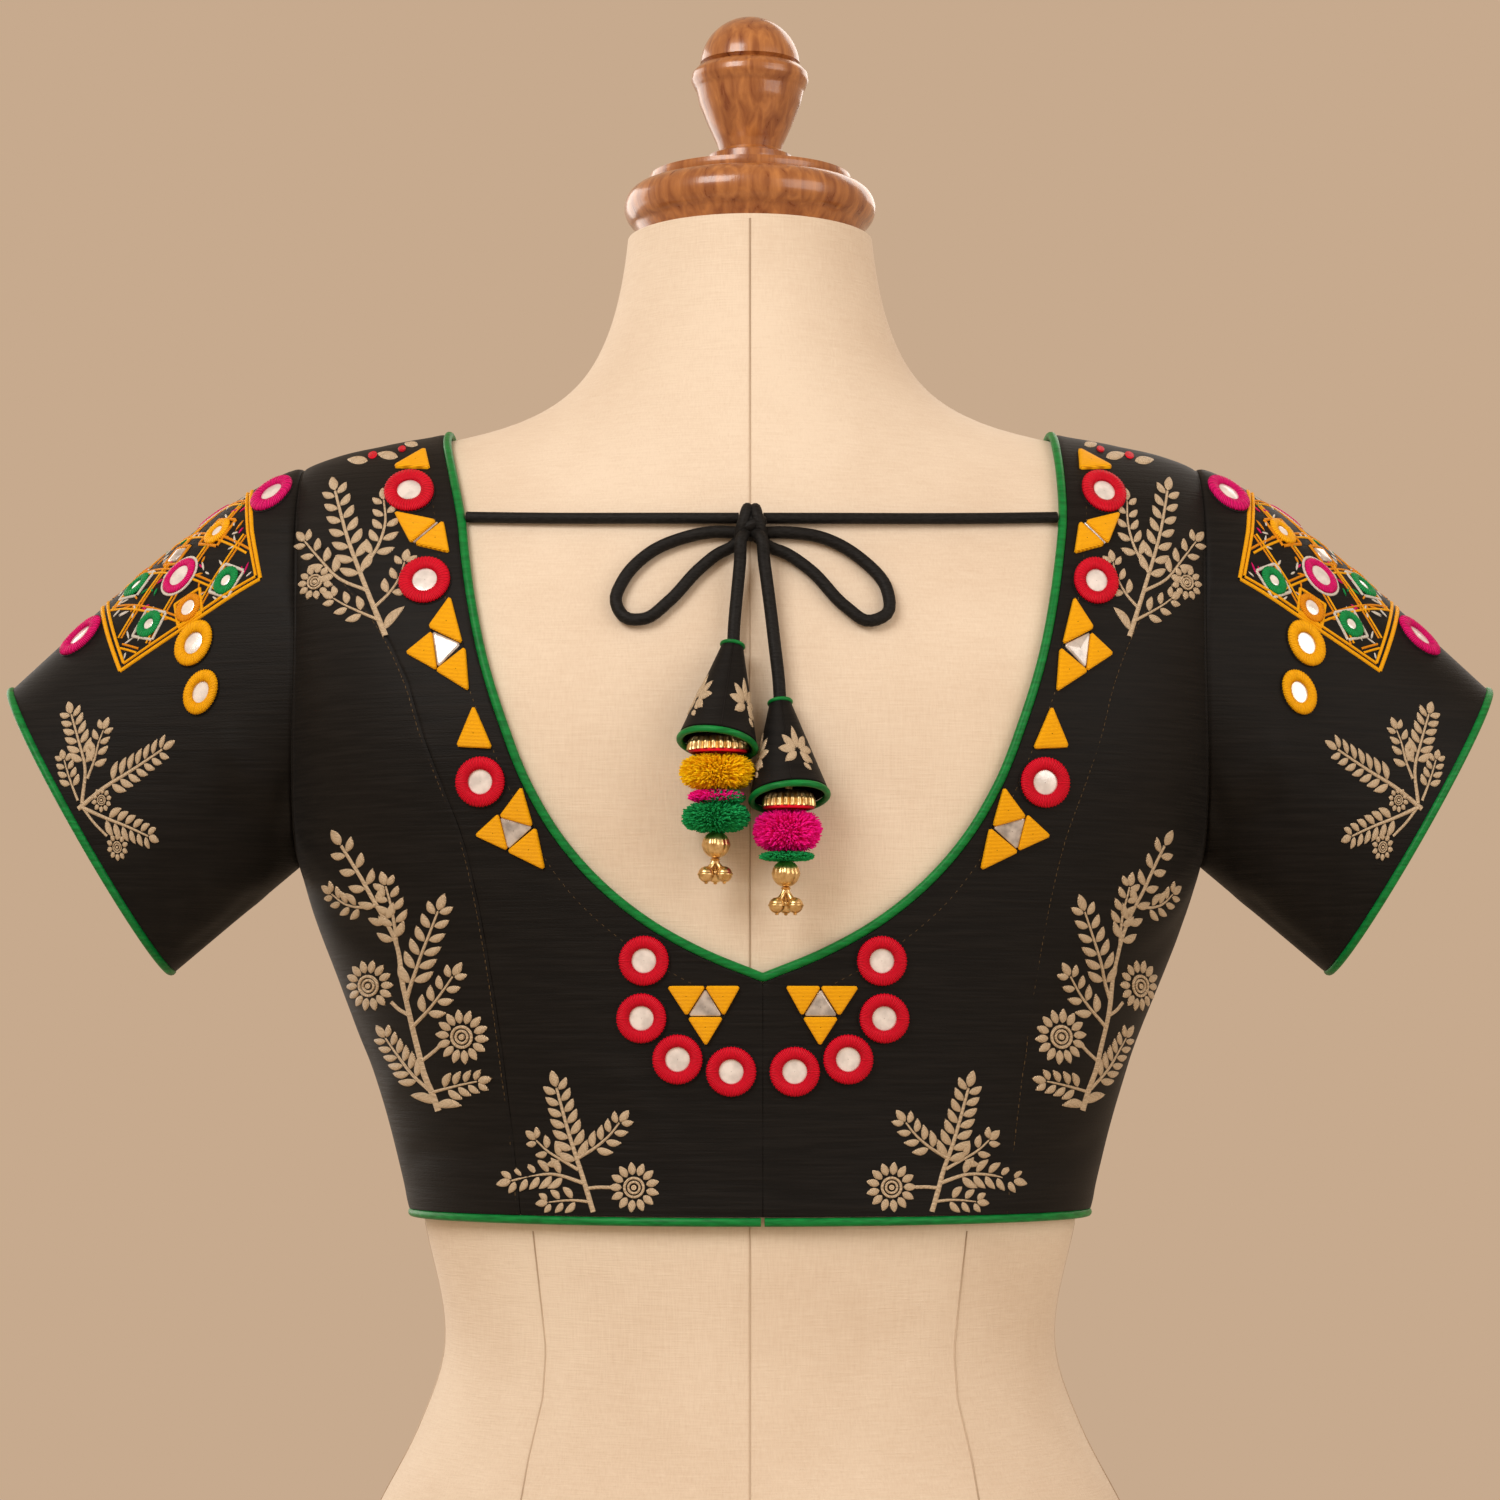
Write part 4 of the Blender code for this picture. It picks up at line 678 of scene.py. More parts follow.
class Work:
    """Flat needlework: grids of (u, v, rise) with thread directions, laid on a surface as one mesh."""

    def __init__(self):
        self.flat, self.faces, self.threads, self.count = [], [], [], 0

    def grid(self, flat, threads):
        rows, columns = flat.shape[:2]
        self.faces += grid_faces(rows, columns, self.count)
        self.flat.append(flat.reshape(-1, 3))
        self.threads.append(np.broadcast_to(threads, flat.shape[:2] + (2,)).reshape(-1, 2))
        self.count += rows * columns

    def make(self, name, surface, material_):
        places, threads = surface(np.concatenate(self.flat)), np.concatenate(self.threads)
        return add_mesh(name, places, self.faces, material_, threads)

    def leaf(self, base, tip, width, rise=0.7, bend=0.0):
        """An almond leaf in satin stitch, its threads slanting from the midrib."""
        base, tip = np.array(base, float), np.array(tip, float)
        along = tip - base
        length = np.linalg.norm(along)
        along = along / length
        side = np.array([-along[1], along[0]])
        s = np.linspace(0, 1, 9)[:, None]
        t = np.array([-1.0, -0.92, -0.5, 0.0, 0.5, 0.92, 1.0])[None, :]
        half = width / 2 * np.sin(math.pi * s**0.85) ** 0.8
        sway = bend * length * np.sin(math.pi * s)
        flat = base + (s * length)[..., None] * along + (half * t + sway)[..., None] * side
        high = rise * (0.35 + 0.65 * (1 - t**2)) * np.sin(math.pi * np.clip(s, 0.04, 0.96)) ** 0.4
        high = high - 0.12 * np.exp(-((t / 0.2) ** 2)) - 0.5 * (np.abs(t) > 0.95)
        high = high - 0.2 * ((s < 0.01) | (s > 0.99))
        threads = np.stack([s * length + np.abs(half * t) * 0.9, half * t + 0 * s], -1)
        self.grid(np.concatenate([flat, high[..., None]], -1), threads)

    def stem(self, path, width, end_width=None, rise=0.8):
        """A raised line in satin stitch along a flat path."""
        path = np.asarray(path, float)
        length = run_of(path)[-1]
        line = resample_at(path, np.linspace(0, 1, max(int(length / 1.6), 4) + 1))
        along = unit(np.gradient(line, axis=0))
        side = np.stack([-along[:, 1], along[:, 0]], -1)
        half = np.linspace(width, width if end_width is None else end_width, len(line))[:, None] / 2
        lean = np.radians([-90, -60, -20, 20, 60, 90])[None, :]
        flat = line[:, None] + (half * np.sin(lean))[..., None] * side[:, None]
        high = rise * half / (width / 2) * np.cos(lean) - 0.15
        run = run_of(line)[:, None]
        threads = np.stack([run + 0.4 * half * np.sin(lean), half * np.sin(lean)], -1)
        self.grid(np.concatenate([flat, high[..., None]], -1), threads)

    def ring(self, centre, reach, thick, rise, wraps=0):
        """A round of thread-wrapped cord, lying on the cloth."""
        steps = max(3 * wraps, 40)
        a, b = np.meshgrid(turns_of(steps), np.radians([-25, 15, 50, 85, 120, 160, 205]), indexing="ij")
        swell = 1 + (0.085 * np.cos(wraps * a + 1.2 * np.sin(b)) if wraps else 0.0)
        r = reach + thick * swell * np.cos(b)
        flat = np.stack([centre[0] + r * np.cos(a), centre[1] + r * np.sin(a)], -1)
        high = rise * (0.42 + 0.58 * swell * np.sin(b))
        flat = np.concatenate([flat, high[..., None]], -1)
        flat, turned_ = np.concatenate([flat, flat[:1]]), np.concatenate([a, a[:1] + 2 * math.pi])
        self.grid(flat, np.stack([turned_ * reach, np.concatenate([b, b[:1]]) * thick], -1))

    def disc(self, centre, reach, rise, dome=0.12, sides=28):
        turn = 2 * math.pi * np.arange(sides + 1) / sides
        shares = np.array([0.02, 0.5, 0.8, 0.94, 1.0, 1.0])
        drop = np.array([0, 0.25, 0.6, 0.9, 1.6, 6.0])
        r, a = np.meshgrid(reach * shares, turn, indexing="ij")
        high = rise - dome * drop[:, None] + 0 * a
        flat = np.stack([centre[0] + r * np.cos(a), centre[1] + r * np.sin(a), high], -1)
        self.grid(flat, np.stack([r, a], -1))

    def pad(self, corners, rise, steps=2, inset=0.0):
        """A padded patch with slightly rounded corners, flat on top with a small bevel."""
        outline = np.array(corners, float).reshape(-1, 2)
        middle = outline.mean(axis=0)
        outline = middle + (outline - middle) * (1 - inset)
        for _ in range(steps):
            after = np.roll(outline, -1, axis=0)
            outline = np.stack([0.93 * outline + 0.07 * after, 0.07 * outline + 0.93 * after], 1)
            outline = outline.reshape(-1, 2)
        outline = np.concatenate([outline, outline[:1]])
        shares = np.array([1.0, 1.0, 0.93, 0.8, 0.5, 0.03])[:, None, None]
        high = rise * np.array([-0.3, 0.6, 0.92, 1.0, 1.04, 1.05])[:, None] + 0 * outline[None, :, 0]
        flat = middle + (outline[None] - middle) * shares
        self.grid(np.concatenate([flat, high[..., None]], -1), flat[..., ::-1])

    def leaf_pairs(self, path, count, length, width, start=0.2, spread=0.75, end=0.96):
        """Leaves in pairs along a path, smaller to its tip, and one at the tip."""
        for i in range(count):
            share = start + (end - start) * i / max(count - 1, 1)
            point, ahead = resample_at(path, [share, min(share + 0.03, 1.0)])
            way = (ahead - point) / max(np.linalg.norm(ahead - point), 1e-6)
            side = np.array([-way[1], way[0]])
            grow = length * (1.05 - 0.4 * share)
            for k, hand in enumerate((-1, 1)):
                base = point + side * hand * 0.7 + way * 1.1 * k
                tip = base + (way * (1 - spread * 0.4) + side * hand * spread) * grow
                self.leaf(base, tip, width * (1 - 0.2 * share), 0.8, bend=0.07 * hand)
        end_point, before = resample_at(path, [1.0, 0.96])
        way = unit(end_point - before)
        self.leaf(end_point + way * 0.3, end_point + way * length * 0.85, width, 0.8)

    def branch(self, path, width, count, length, leaf_width, **values):
        self.stem(path, width, width * 0.5)
        self.leaf_pairs(path, count, length, leaf_width, **values)

    def flower(self, centre, reach, petals=13, start=0.0):
        """A round flower: separate petals about two wrapped rounds and a button."""
        centre = np.array(centre, float)
        for i in range(petals):
            a = start + 2 * math.pi * i / petals
            way = np.array([math.cos(a), math.sin(a)])
            self.leaf(centre + way * reach * 0.48, centre + way * reach, 4.1 * reach / petals, 0.75)
        self.ring(centre, reach * 0.37, reach * 0.055, 0.8, wraps=22)
        self.ring(centre, reach * 0.22, reach * 0.05, 0.7, wraps=14)
        self.disc(centre, reach * 0.11, 0.75)

    def stitches(self, path, length, gap, width=0.32, rise=0.28):
        """Running stitches along a flat path."""
        path = np.asarray(path, float)
        whole = run_of(path)[-1]
        at = 0.0
        while at + length < whole:
            a, b = resample_at(path, [at / whole, (at + length) / whole])
            side = unit(np.array([-(b - a)[1], (b - a)[0]])) * width / 2
            s = np.array([0.0, 0.15, 0.85, 1.0])[:, None, None]
            t = np.array([-1.0, 0.0, 1.0])[None, :, None]
            flat = a + (b - a) * s + side * t
            high = rise * np.array([-0.6, 0.8, 0.8, -0.6])[:, None] * np.array([0.1, 1.0, 0.1])[None, :]
            self.grid(np.concatenate([flat, high[..., None]], -1), flat)
            at += length + gap


# Materials


def texture(tree, scale=1.0, stretch=(1, 1, 1), turn=(0, 0, 0), uv=False, kind="Noise", **values):
    """A procedural texture on the piece's own coordinates, or on its thread map."""
    source = tree.nodes.new("ShaderNodeTexCoord")
    mapping = tree.nodes.new("ShaderNodeMapping")
    mapping.inputs["Scale"].default_value = stretch
    mapping.inputs["Rotation"].default_value = turn
    tree.links.new(source.outputs["UV" if uv else "Object"], mapping.inputs["Vector"])
    made = tree.nodes.new("ShaderNodeTex" + kind)
    made.inputs["Scale"].default_value = scale
    for key, value in values.items():
        made.inputs[key].default_value = value
    tree.links.new(mapping.outputs["Vector"], made.inputs["Vector"])
    return made.outputs["Fac"]


def look(name, colour, roughness, layers, low, high, at=(0.35, 0.65), by=0, bumps=(), rough=None, **sockets):
    """A material. Layers are textures, or a math operation and what goes in: a whole number is a layer.

    The colour runs from low to high by the layer named; a bump is layer, distance, strength, and rough
    is the span of the roughness over the first layer. The other values go to the shader's own sockets.
    """
    made = bpy.data.materials.new(name)
    made.use_nodes = True
    nodes, link = made.node_tree.nodes, made.node_tree.links.new
    shader = nodes["Principled BSDF"]
    sockets.update(Base_Color=(*colour, 1), Roughness=roughness)
    for key, value in sockets.items():
        shader.inputs[key.replace("_", " ")].default_value = value
    outs = []
    for layer in layers:
        if isinstance(layer, dict):
            outs.append(texture(made.node_tree, **layer))
            continue
        mix = nodes.new("ShaderNodeMath")
        mix.operation = layer[0]
        for value, socket in zip(layer[1:], mix.inputs):
            if isinstance(value, int):
                link(outs[value], socket)
            else:
                socket.default_value = value
        outs.append(mix.outputs[0])
    ramp = nodes.new("ShaderNodeValToRGB")
    for element, place, shade in zip(ramp.color_ramp.elements, at, (low, high)):
        element.position, element.color = place, (*shade, 1)
    link(outs[by], ramp.inputs["Fac"])
    link(ramp.outputs["Color"], shader.inputs["Base Color"])
    before = None
    for layer, distance, strength in bumps:
        bump = nodes.new("ShaderNodeBump")
        bump.inputs["Strength"].default_value = strength
        bump.inputs["Distance"].default_value = distance
        link(outs[layer], bump.inputs["Height"])
        if before:
            link(before.outputs["Normal"], bump.inputs["Normal"])
        before = bump
    if before:
        link(before.outputs["Normal"], shader.inputs["Normal"])
    if rough:
        span = nodes.new("ShaderNodeMapRange")
        span.inputs["To Min"].default_value, span.inputs["To Max"].default_value = rough
        link(outs[0], span.inputs["Value"])
        link(span.outputs["Result"], shader.inputs["Roughness"])
    return made


def metal_look(name, colour, dark, roughness):
    return look(name, colour, roughness, [dict(scale=420.0, Detail=4.0)], dark, colour, (0.3, 0.6),
                bumps=[(0, 0.00015, 0.4)], rough=(roughness, roughness + 0.16), Metallic=1.0)


def mirror_look(name, low, high):
    # mostly diffuse base colour with little metal: its brightness is a painted reflection of the
    # surroundings, and the noise is the glass's own uneven tone
    return look(name, high, 0.16, [dict(scale=210.0, Detail=3.0)], low, high, (0.35, 0.6),
                bumps=[(0, 0.0002, 0.3)], Metallic=0.25, Coat_Weight=0.8)


def thread_look(name, low, high, gloss=0.12, ramp=(0.05, 0.36)):
    """Stitched thread: ridges across its run, with light and dark strands; the colour darkens in the troughs
    between the ridges, a painted shade between the stitches.
    """
    ridge = dict(stretch=(0.62, 0.02, 1), uv=True, kind="Wave", Distortion=0.7)
    strand = dict(stretch=(2.6, 0.5, 1), uv=True, Detail=3.0)
    # colour runs by ridge times strand: the dark in the ridge troughs is painted shade, the strands are the
    # thread's own tone
    return look(name, high, 0.5, [ridge, strand, ("MULTIPLY", 0, 1)], low, high, ramp, 2,
                [(0, 0.00035, 0.5)], Specular_IOR_Level=gloss)


def wool_look(name, low, high):
    return look(name, high, 0.9, [dict(scale=700.0, Detail=3.0)], low, high, (0.3, 0.62),
                bumps=[(0, 0.0003, 0.6)], Specular_IOR_Level=0.1)


# Making pieces


def ridden(name, data):
    obj = bpy.data.objects.new(name, data)
    bpy.context.collection.objects.link(obj)
    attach(obj, "root")
    return obj


def add_mesh(name, points, faces, material_, threads=None):
    """A mesh piece from millimetres. Needlework brings thread directions, other pieces get sharp edges."""
    mesh = bpy.data.meshes.new(name)
    mesh.from_pydata((np.asarray(points) * MM).tolist(), [], [tuple(f) for f in faces])
    if threads is not None:
        layer = mesh.uv_layers.new(name="threads")
        loops = np.zeros(len(mesh.loops), int)
        mesh.loops.foreach_get("vertex_index", loops)
        layer.data.foreach_set("uv", threads[loops].ravel())
    tool = bmesh.new()
    tool.from_mesh(mesh)
    bmesh.ops.recalc_face_normals(tool, faces=tool.faces)
    tool.to_mesh(mesh)
    tool.free()
    mesh.shade_smooth()
    if threads is None:
        mesh.set_sharp_from_angle(angle=math.radians(50))
    mesh.materials.append(material_)
    return ridden(name, mesh)


def tube(name, path, radius, material_, closed=False, rounding=4):
    curve = bpy.data.curves.new(name, "CURVE")
    curve.dimensions = "3D"
    spline = curve.splines.new("POLY")
    spline.points.add(len(path) - 1)
    for point, place_ in zip(spline.points, path):
        point.co = (*(np.asarray(place_) * MM), 1)
    spline.use_cyclic_u = closed
    spline.use_smooth = True
    curve.bevel_depth = radius * MM
    curve.bevel_resolution = rounding
    curve.use_fill_caps = not closed
    curve.materials.append(material_)
    return ridden(name, curve)


def lathe(name, profile, centre, material_, steps=72, ribs=0, rib=0.0, axis=None, cell=0.9):
    """A turned piece from (radius, height) places, ribbed where asked, its axis upright or as given."""
    profile = np.array(profile, float)
    line = joined(*(np.linspace(a, b, max(int(np.linalg.norm(b - a) / cell), 1) + 1)
                    for a, b in zip(profile, profile[1:])))
    rows = len(line)
    r, a = line[:, :1] * np.ones(steps), turns_of(steps) + 0 * line[:, :1]
    if ribs:
        r = r * (1 + rib * (np.abs(np.cos(ribs * a / 2)) - 0.6))
    points = np.stack([r * np.cos(a), r * np.sin(a), line[:, 1:] + 0 * a], -1)
    if axis is not None:
        points = points @ leant(axis)
    points = points + np.array(centre, float)
    return add_mesh(name, points.reshape(-1, 3), grid_faces(rows, steps, 0, True), material_)


# The camera, the light and the floor


def studio():
    eye = bpy.data.cameras.new("camera")
    eye.sensor_width, eye.lens = 36.0, 89.16
    camera = bpy.data.objects.new("camera", eye)
    camera.location = (0.0, -1.5, 0.306)
    way = Vector((0.0, 0.0, 0.425)) - camera.location
    camera.rotation_euler = way.to_track_quat("-Z", "Y").to_euler()
    bpy.context.collection.objects.link(camera)
    bpy.context.scene.camera = camera
    world = bpy.data.worlds.new("studio")
    world.use_nodes = True
    world.node_tree.nodes["Background"].inputs["Color"].default_value = (*BACKDROP, 1)
    world.node_tree.nodes["Background"].inputs["Strength"].default_value = 1.0
    bpy.context.scene.world = world
    for name, at, size, power in LIGHTS:
        light = bpy.data.lights.new(name, "AREA")
        light.shape, light.size, light.energy = "SQUARE", size, power
        light.color = (1.0, 0.97, 0.93)
        lamp = bpy.data.objects.new(name, light)
        lamp.location = at
        lamp.rotation_euler = (Vector((0, 0, 0.40)) - lamp.location).to_track_quat("-Z", "Y").to_euler()
        bpy.context.collection.objects.link(lamp)
    points = np.concatenate([hoop(r, 0.0, 96) for r in (1, 300, 700, 820)])
    floor = add_mesh("floor", points, grid_faces(4, 96, 0, True), FLOOR_LOOK)
    floor.location.z = -0.0006
    bpy.context.scene.view_settings.view_transform = "Standard"


BACKDROP = (0.571, 0.402, 0.270)
#   name, place in metres, side, power
LIGHTS = (
    ("key", (-1.1, -1.7, 1.7), 1.2, 34.0),
    ("fill", (1.5, -1.3, 0.9), 1.4, 14.0),
    ("rim", (0.9, 1.5, 1.5), 1.2, 8.0),
    ("rear_fill", (-1.4, 1.2, 0.8), 1.4, 14.0),
)


# Ties, bow and what hangs on it

#   cord wraps of the knot: lean, shift to the right, radius
KNOT_WRAPS = ((0.30, -3.2, 2.5), (-0.25, 3.1, 2.5), (1.25, 0.4, 2.4))


def ties_and_bow(lines):
    made = {}
    knot_y = figure_back(KNOT[0], KNOT[1], KNOT[4] + 0.5)
    for (sign, line), tag in zip(lines, ("left", "right")):
        start = line[np.argmin(abs(line[:, 2] - 510.5) + 1000 * (line[:, 1] > 0))]
        x0 = start[0] - sign * 0.6
        stop = KNOT[0] + sign * (KNOT[2] - 1.6)
        xs = np.linspace(x0, stop, 40)
        heights = TIE_HEIGHT + (start[2] - TIE_HEIGHT) * (abs(xs - stop) / abs(x0 - stop)) ** 1.5
        path = np.array([(x, figure_back(x, z, TIE_R + 0.4), z) for x, z in zip(xs, heights)])
        made["tie_" + tag] = (tube("dori_" + tag, path, TIE_R, CORD_LOOK), path, TIE_R)
    for name, route in (("loop_left", LOOP_LEFT), ("loop_right", LOOP_RIGHT)):
        route = ((route[0][0] * 0.3, 500.6),) + route[1:-1] + (route[-1], (route[-1][0] * 0.4, 499.0))
        flat = resample_at(np.array(route, float), np.linspace(0, 1, 60))
        path = np.array([(x, figure_back(x, z, LOOP_R + 0.3), z) for x, z in flat])
        made[name] = (tube("bow_" + name, path, LOOP_R, CORD_LOOK), path, LOOP_R)
    for name, route in (("end_left", END_LEFT), ("end_right", END_RIGHT)):
        start = (route[0][0] * 0.6, 499.6, 6.0)
        rows = resample_at(np.array((start,) + route, float), np.linspace(0, 1, 28))
        path = np.array([(x, figure_back(x, z, out), z) for x, z, out in rows])
        made[name] = (tube("free_" + name, path, LOOP_R, CORD_LOOK), path, LOOP_R)
    middle = np.array([KNOT[0], knot_y, KNOT[1]])
    points = [(middle + globe(20, 28) * (KNOT[2] - 1.6, KNOT[4] - 1.2, KNOT[3] - 1.6)).reshape(-1, 3)]
    faces = grid_faces(20, 28, 0, True) + [tuple(range(28)), tuple(19 * 28 + i for i in range(28))]
    for lean_, shift, wide in KNOT_WRAPS:
        along, across = np.meshgrid(turns_of(40), np.linspace(0, 2 * math.pi, 13), indexing="ij")
        reach = np.stack([0 * along, np.cos(along), np.sin(along)], -1)
        ring = reach * (0, KNOT[4] - wide, KNOT[3] - wide - 0.2)
        ring = ring + wide * (np.cos(across)[..., None] * reach + np.sin(across)[..., None] * (1.0, 0.0, 0.0))
        c, s = math.cos(lean_), math.sin(lean_)
        x, y, z = ring[..., 0] + shift, ring[..., 1], ring[..., 2]
        squeeze = 1 - 0.22 * abs(s)
        ring = np.stack([(c * x + s * z) * squeeze, y, c * z - s * x], -1)
        count = sum(map(len, points))
        faces += [tuple(count + (i % (40 * 13)) for i in face) for face in grid_faces(41, 13)]
        points.append((ring + middle).reshape(-1, 3))
    knot = add_mesh("bow_knot", np.concatenate(points), faces, CORD_LOOK)
    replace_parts(knot, "knot")
    return made, knot


PLUMP = 2.7           # a pompom's roundness: 2 is a ball, more is a cushion


def pompom(name, centre, radius, half, strands, material_, seed):
    """A ball of many short cut strands over a wool core."""
    rng = np.random.default_rng(seed)
    size = np.array([radius, radius, half])
    points = [(globe(16, 24) * size * 0.74).reshape(-1, 3)]
    faces = grid_faces(16, 24, 0, True)
    count = len(points[0])
    way = rng.normal(size=(strands, 3))
    way /= (np.abs(way) ** PLUMP).sum(axis=1, keepdims=True) ** (1 / PLUMP)
    lean_off = way + 0.22 * rng.normal(size=(strands, 3))
    lean_off /= (np.abs(lean_off) ** PLUMP).sum(axis=1, keepdims=True) ** (1 / PLUMP)
    reach = rng.uniform(0.86, 1.03, (strands, 1))
    side = unit(np.cross(lean_off, rng.normal(size=(strands, 3))))
    other = np.cross(lean_off, side)
    thick = rng.uniform(0.30, 0.58, (strands, 1))
    for share, swell in ((0.55, 0.9), (0.85, 1.0), (1.0, 0.45)):
        middle = (way * 0.55 + lean_off * (share - 0.55)) * size * reach
        for k in range(3):
            a = 2 * math.pi * k / 3
            points.append(middle + thick * swell * (math.cos(a) * side + math.sin(a) * other))
    corners = [(level + k, level + (k + 1) % 3, level + (k + 1) % 3 + 3, level + k + 3)
               for level in (0, 3) for k in range(3)] + [(6, 7, 8)]
    for face in corners:
        faces += [tuple(count + corner * strands + i for corner in face) for i in range(strands)]
    return add_mesh(name, np.concatenate(points) + np.array(centre, float), faces, material_)


def bells(name, centre, top, low, node):
    """Three little round bells with slits, each on its own neck from one loop, a knob below."""
    points, faces = [], []

    def turned_body(profile, at, way, dents=0.0, facing=0.0):
        profile = np.array(profile)
        turn = turns_of(24)
        slit = dents * np.exp(-((np.sin(turn + facing) / 0.12) ** 2))
        r = profile[:, :1] * (1 - slit * (profile[:, 1:] < 0))
        body = np.stack([r * np.cos(turn), r * np.sin(turn), profile[:, 1:] + 0 * turn], -1)
        faces.extend(grid_faces(len(profile), 24, sum(map(len, points)), True))
        points.append((body @ leant(way) + at).reshape(-1, 3))

    hub = np.array([centre[0], centre[1], top - 0.2])
    for k in range(3):
        a = -math.pi / 2 + 2 * math.pi * (k + 0.5) / 3
        at = np.array([centre[0] + 3.9 * math.cos(a), centre[1] + 3.0 * math.sin(a), low + 3.6])
        ball = [(3.0 * math.sin(t), 3.0 * math.cos(t)) for t in np.linspace(0.05, 1.42, 9)]
        band = [(3.2, 0.3), (3.25, 0.0), (3.2, -0.3)]
        under = [(3.0 * math.sin(t), 3.0 * math.cos(t)) for t in np.linspace(1.72, 2.9, 8)]
        knob = [(0.6, -3.0), (0.75, -3.3), (0.5, -3.55), (0.05, -3.6)]
        turned_body(ball + band + under + knob, at, (0, 0, 1), 0.12, a)
        way = hub - at
        long = float(np.linalg.norm(way))
        neck = [(0.05, 2.2), (1.5, 2.3), (1.1, 3.2), (0.85, long * 0.7), (1.15, long * 0.92), (0.05, long)]
        turned_body(neck, at, way / long)
    turned_body([(0.05, 0.6), (1.5, 0.5), (1.9, 0.0), (1.5, -0.5), (0.05, -0.6)], hub, (0, 0, 1))
    obj = add_mesh(name, np.concatenate(points), faces, GOLD_LOOK)
    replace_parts(obj, node)
    return obj


#   where fans of gold leaves stand on each cone, in degrees from its back; lean and length of their leaves
CONE_FANS = {"left": (-62, 50, 170), "right": (24, -74, 150)}
FAN_LEAVES = ((0.0, 11.0), (0.7, 9.4), (-0.7, 9.4), (1.4, 8.0), (-1.4, 8.0), (2.3, 7.4), (-2.3, 7.4))


def latkan(tag, top, foot, parts):
    """A tassel: cloth cone with gold leaves and a bound rim, ribbed cap, pompoms, ball and bells."""
    node = f"latkan_{tag}_"
    top, foot = np.array(top, float), np.array(foot, float)
    axis = top - foot
    tall = np.linalg.norm(axis)
    lean = leant(axis)
    profile = [(0.3, tall), (CONE_TOP_R - 0.5, tall), (CONE_TOP_R, tall - 0.6), (CONE_END_R - 0.1, 0.4),
               (CONE_END_R - 0.4, 0), (CONE_END_R - CONE_WALL, 0.4),
               (CONE_TOP_R - CONE_WALL, tall - CONE_ROOF)]
    cone = lathe(node + "cloth", profile, foot, SILK_LOOK, 64, axis=axis)
    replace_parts(cone, node + "cone")

    def cone_surface(flat):
        share = flat[..., 1] / tall
        r = CONE_END_R + (CONE_TOP_R - CONE_END_R) * share + 0.1 + flat[..., 2]
        a = flat[..., 0] / CONE_END_R
        point = np.stack([r * np.sin(a), -r * np.cos(a), flat[..., 1]], -1)
        return foot + point @ lean

    work = Work()
    for degrees in CONE_FANS[tag]:
        at = np.array([math.radians(degrees) * CONE_END_R, 13.0])
        for lean_, long in FAN_LEAVES:
            way = np.array([1.25 * math.sin(lean_), math.cos(lean_)])
            work.leaf(at + way, at + long * way, 3.9, 0.5)
        for down in (5.5, 8.5):
            work.leaf(at + (1.5, -down + 3), at + (4.4, -down), 2.2, 0.5)
    leaves = work.make(node + "leaves", cone_surface, GOLD_THREAD)
    seam = Work()
    seam.stem([(1.0, 0.5), (1.0, tall / 2), (1.0, tall - 1.5)], 0.5, rise=0.3)
    cone_seam = seam.make(node + "seam", cone_surface, BLACK_THREAD)
    loose = 1 + 0.004 * np.sin(5 * turns_of(64))
    ring = foot + hoop((CONE_END_R - 0.4) * loose, -RIM_R - SEAM, 64) @ lean
    rim = tube(node + "piping", ring, RIM_R, SATIN_LOOK, closed=True)
    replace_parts(rim, node + "rim")
    neck = foot + hoop(CONE_TOP_R + 0.2, tall - 0.9, 64) @ lean
    collar = tube(node + "collar", neck, 0.75, SATIN_LOOK, closed=True)
    pieces = [cone, leaves, cone_seam, rim, collar]
    for name, x, high, low, radius, kind in parts:
        middle, half = (high + low) / 2, (high - low) / 2
        if kind in WOOLS:
            ball, more = half > 4, (0.15 if half > 4 else 0.9)
            strands, wide = (2000, radius) if ball else (1100, radius + 1.2)
            pieces.append(pompom(node + name + "_strands", (x, HANG_Y, middle), wide, half + more, strands,
                                 WOOLS[kind], len(pieces)))
            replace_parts(pieces[-1], node + name)
            if kind == "pink" and not ball:
                centre = (x + 2.4, HANG_Y - 1.6, middle - 0.4)
                pieces.append(pompom(node + "green_tuft", centre, 8.4, 3.0, 900, WOOLS["green"], 5))
        elif kind == "bells":
            pieces.append(bells(node + "bell_trio", (x, HANG_Y), high, low, node + name))
        elif kind == "cap":
            shape = [(0.2, high + 2.4), (1.2, high + 2.2), (1.3, high), (radius * 0.62, high - 0.3),
                     (radius * 0.88, high - 1.6), (radius * 0.98, middle), (radius, low + 1.3),
                     (radius * 1.02, low + 0.9)]
            centre = (x, HANG_Y, 0)
            pieces.append(lathe(node + "ribbed_cap", shape, centre, GOLD_LOOK, 132, 22, 0.13, cell=0.5))
            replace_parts(pieces[-1], node + name)
            hem = hoop(radius * 0.93, low + 0.5, 64) + centre
            pieces.append(tube(node + "cap_cord", hem, 0.7, RED_THREAD, closed=True))
        else:
            shape = [(0.2, high)] + arc((0, middle), half, 75, 8, 8) + [(half * 1.04, middle)]
            shape += arc((0, middle), half, -8, -75, 8) + [(0.2, low)]
            pieces.append(lathe(node + "gold_ball", shape, (x, HANG_Y, 0), GOLD_LOOK, 96, 12, 0.07))
            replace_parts(pieces[-1], node + name)
    return pieces


# Applique and embroidery


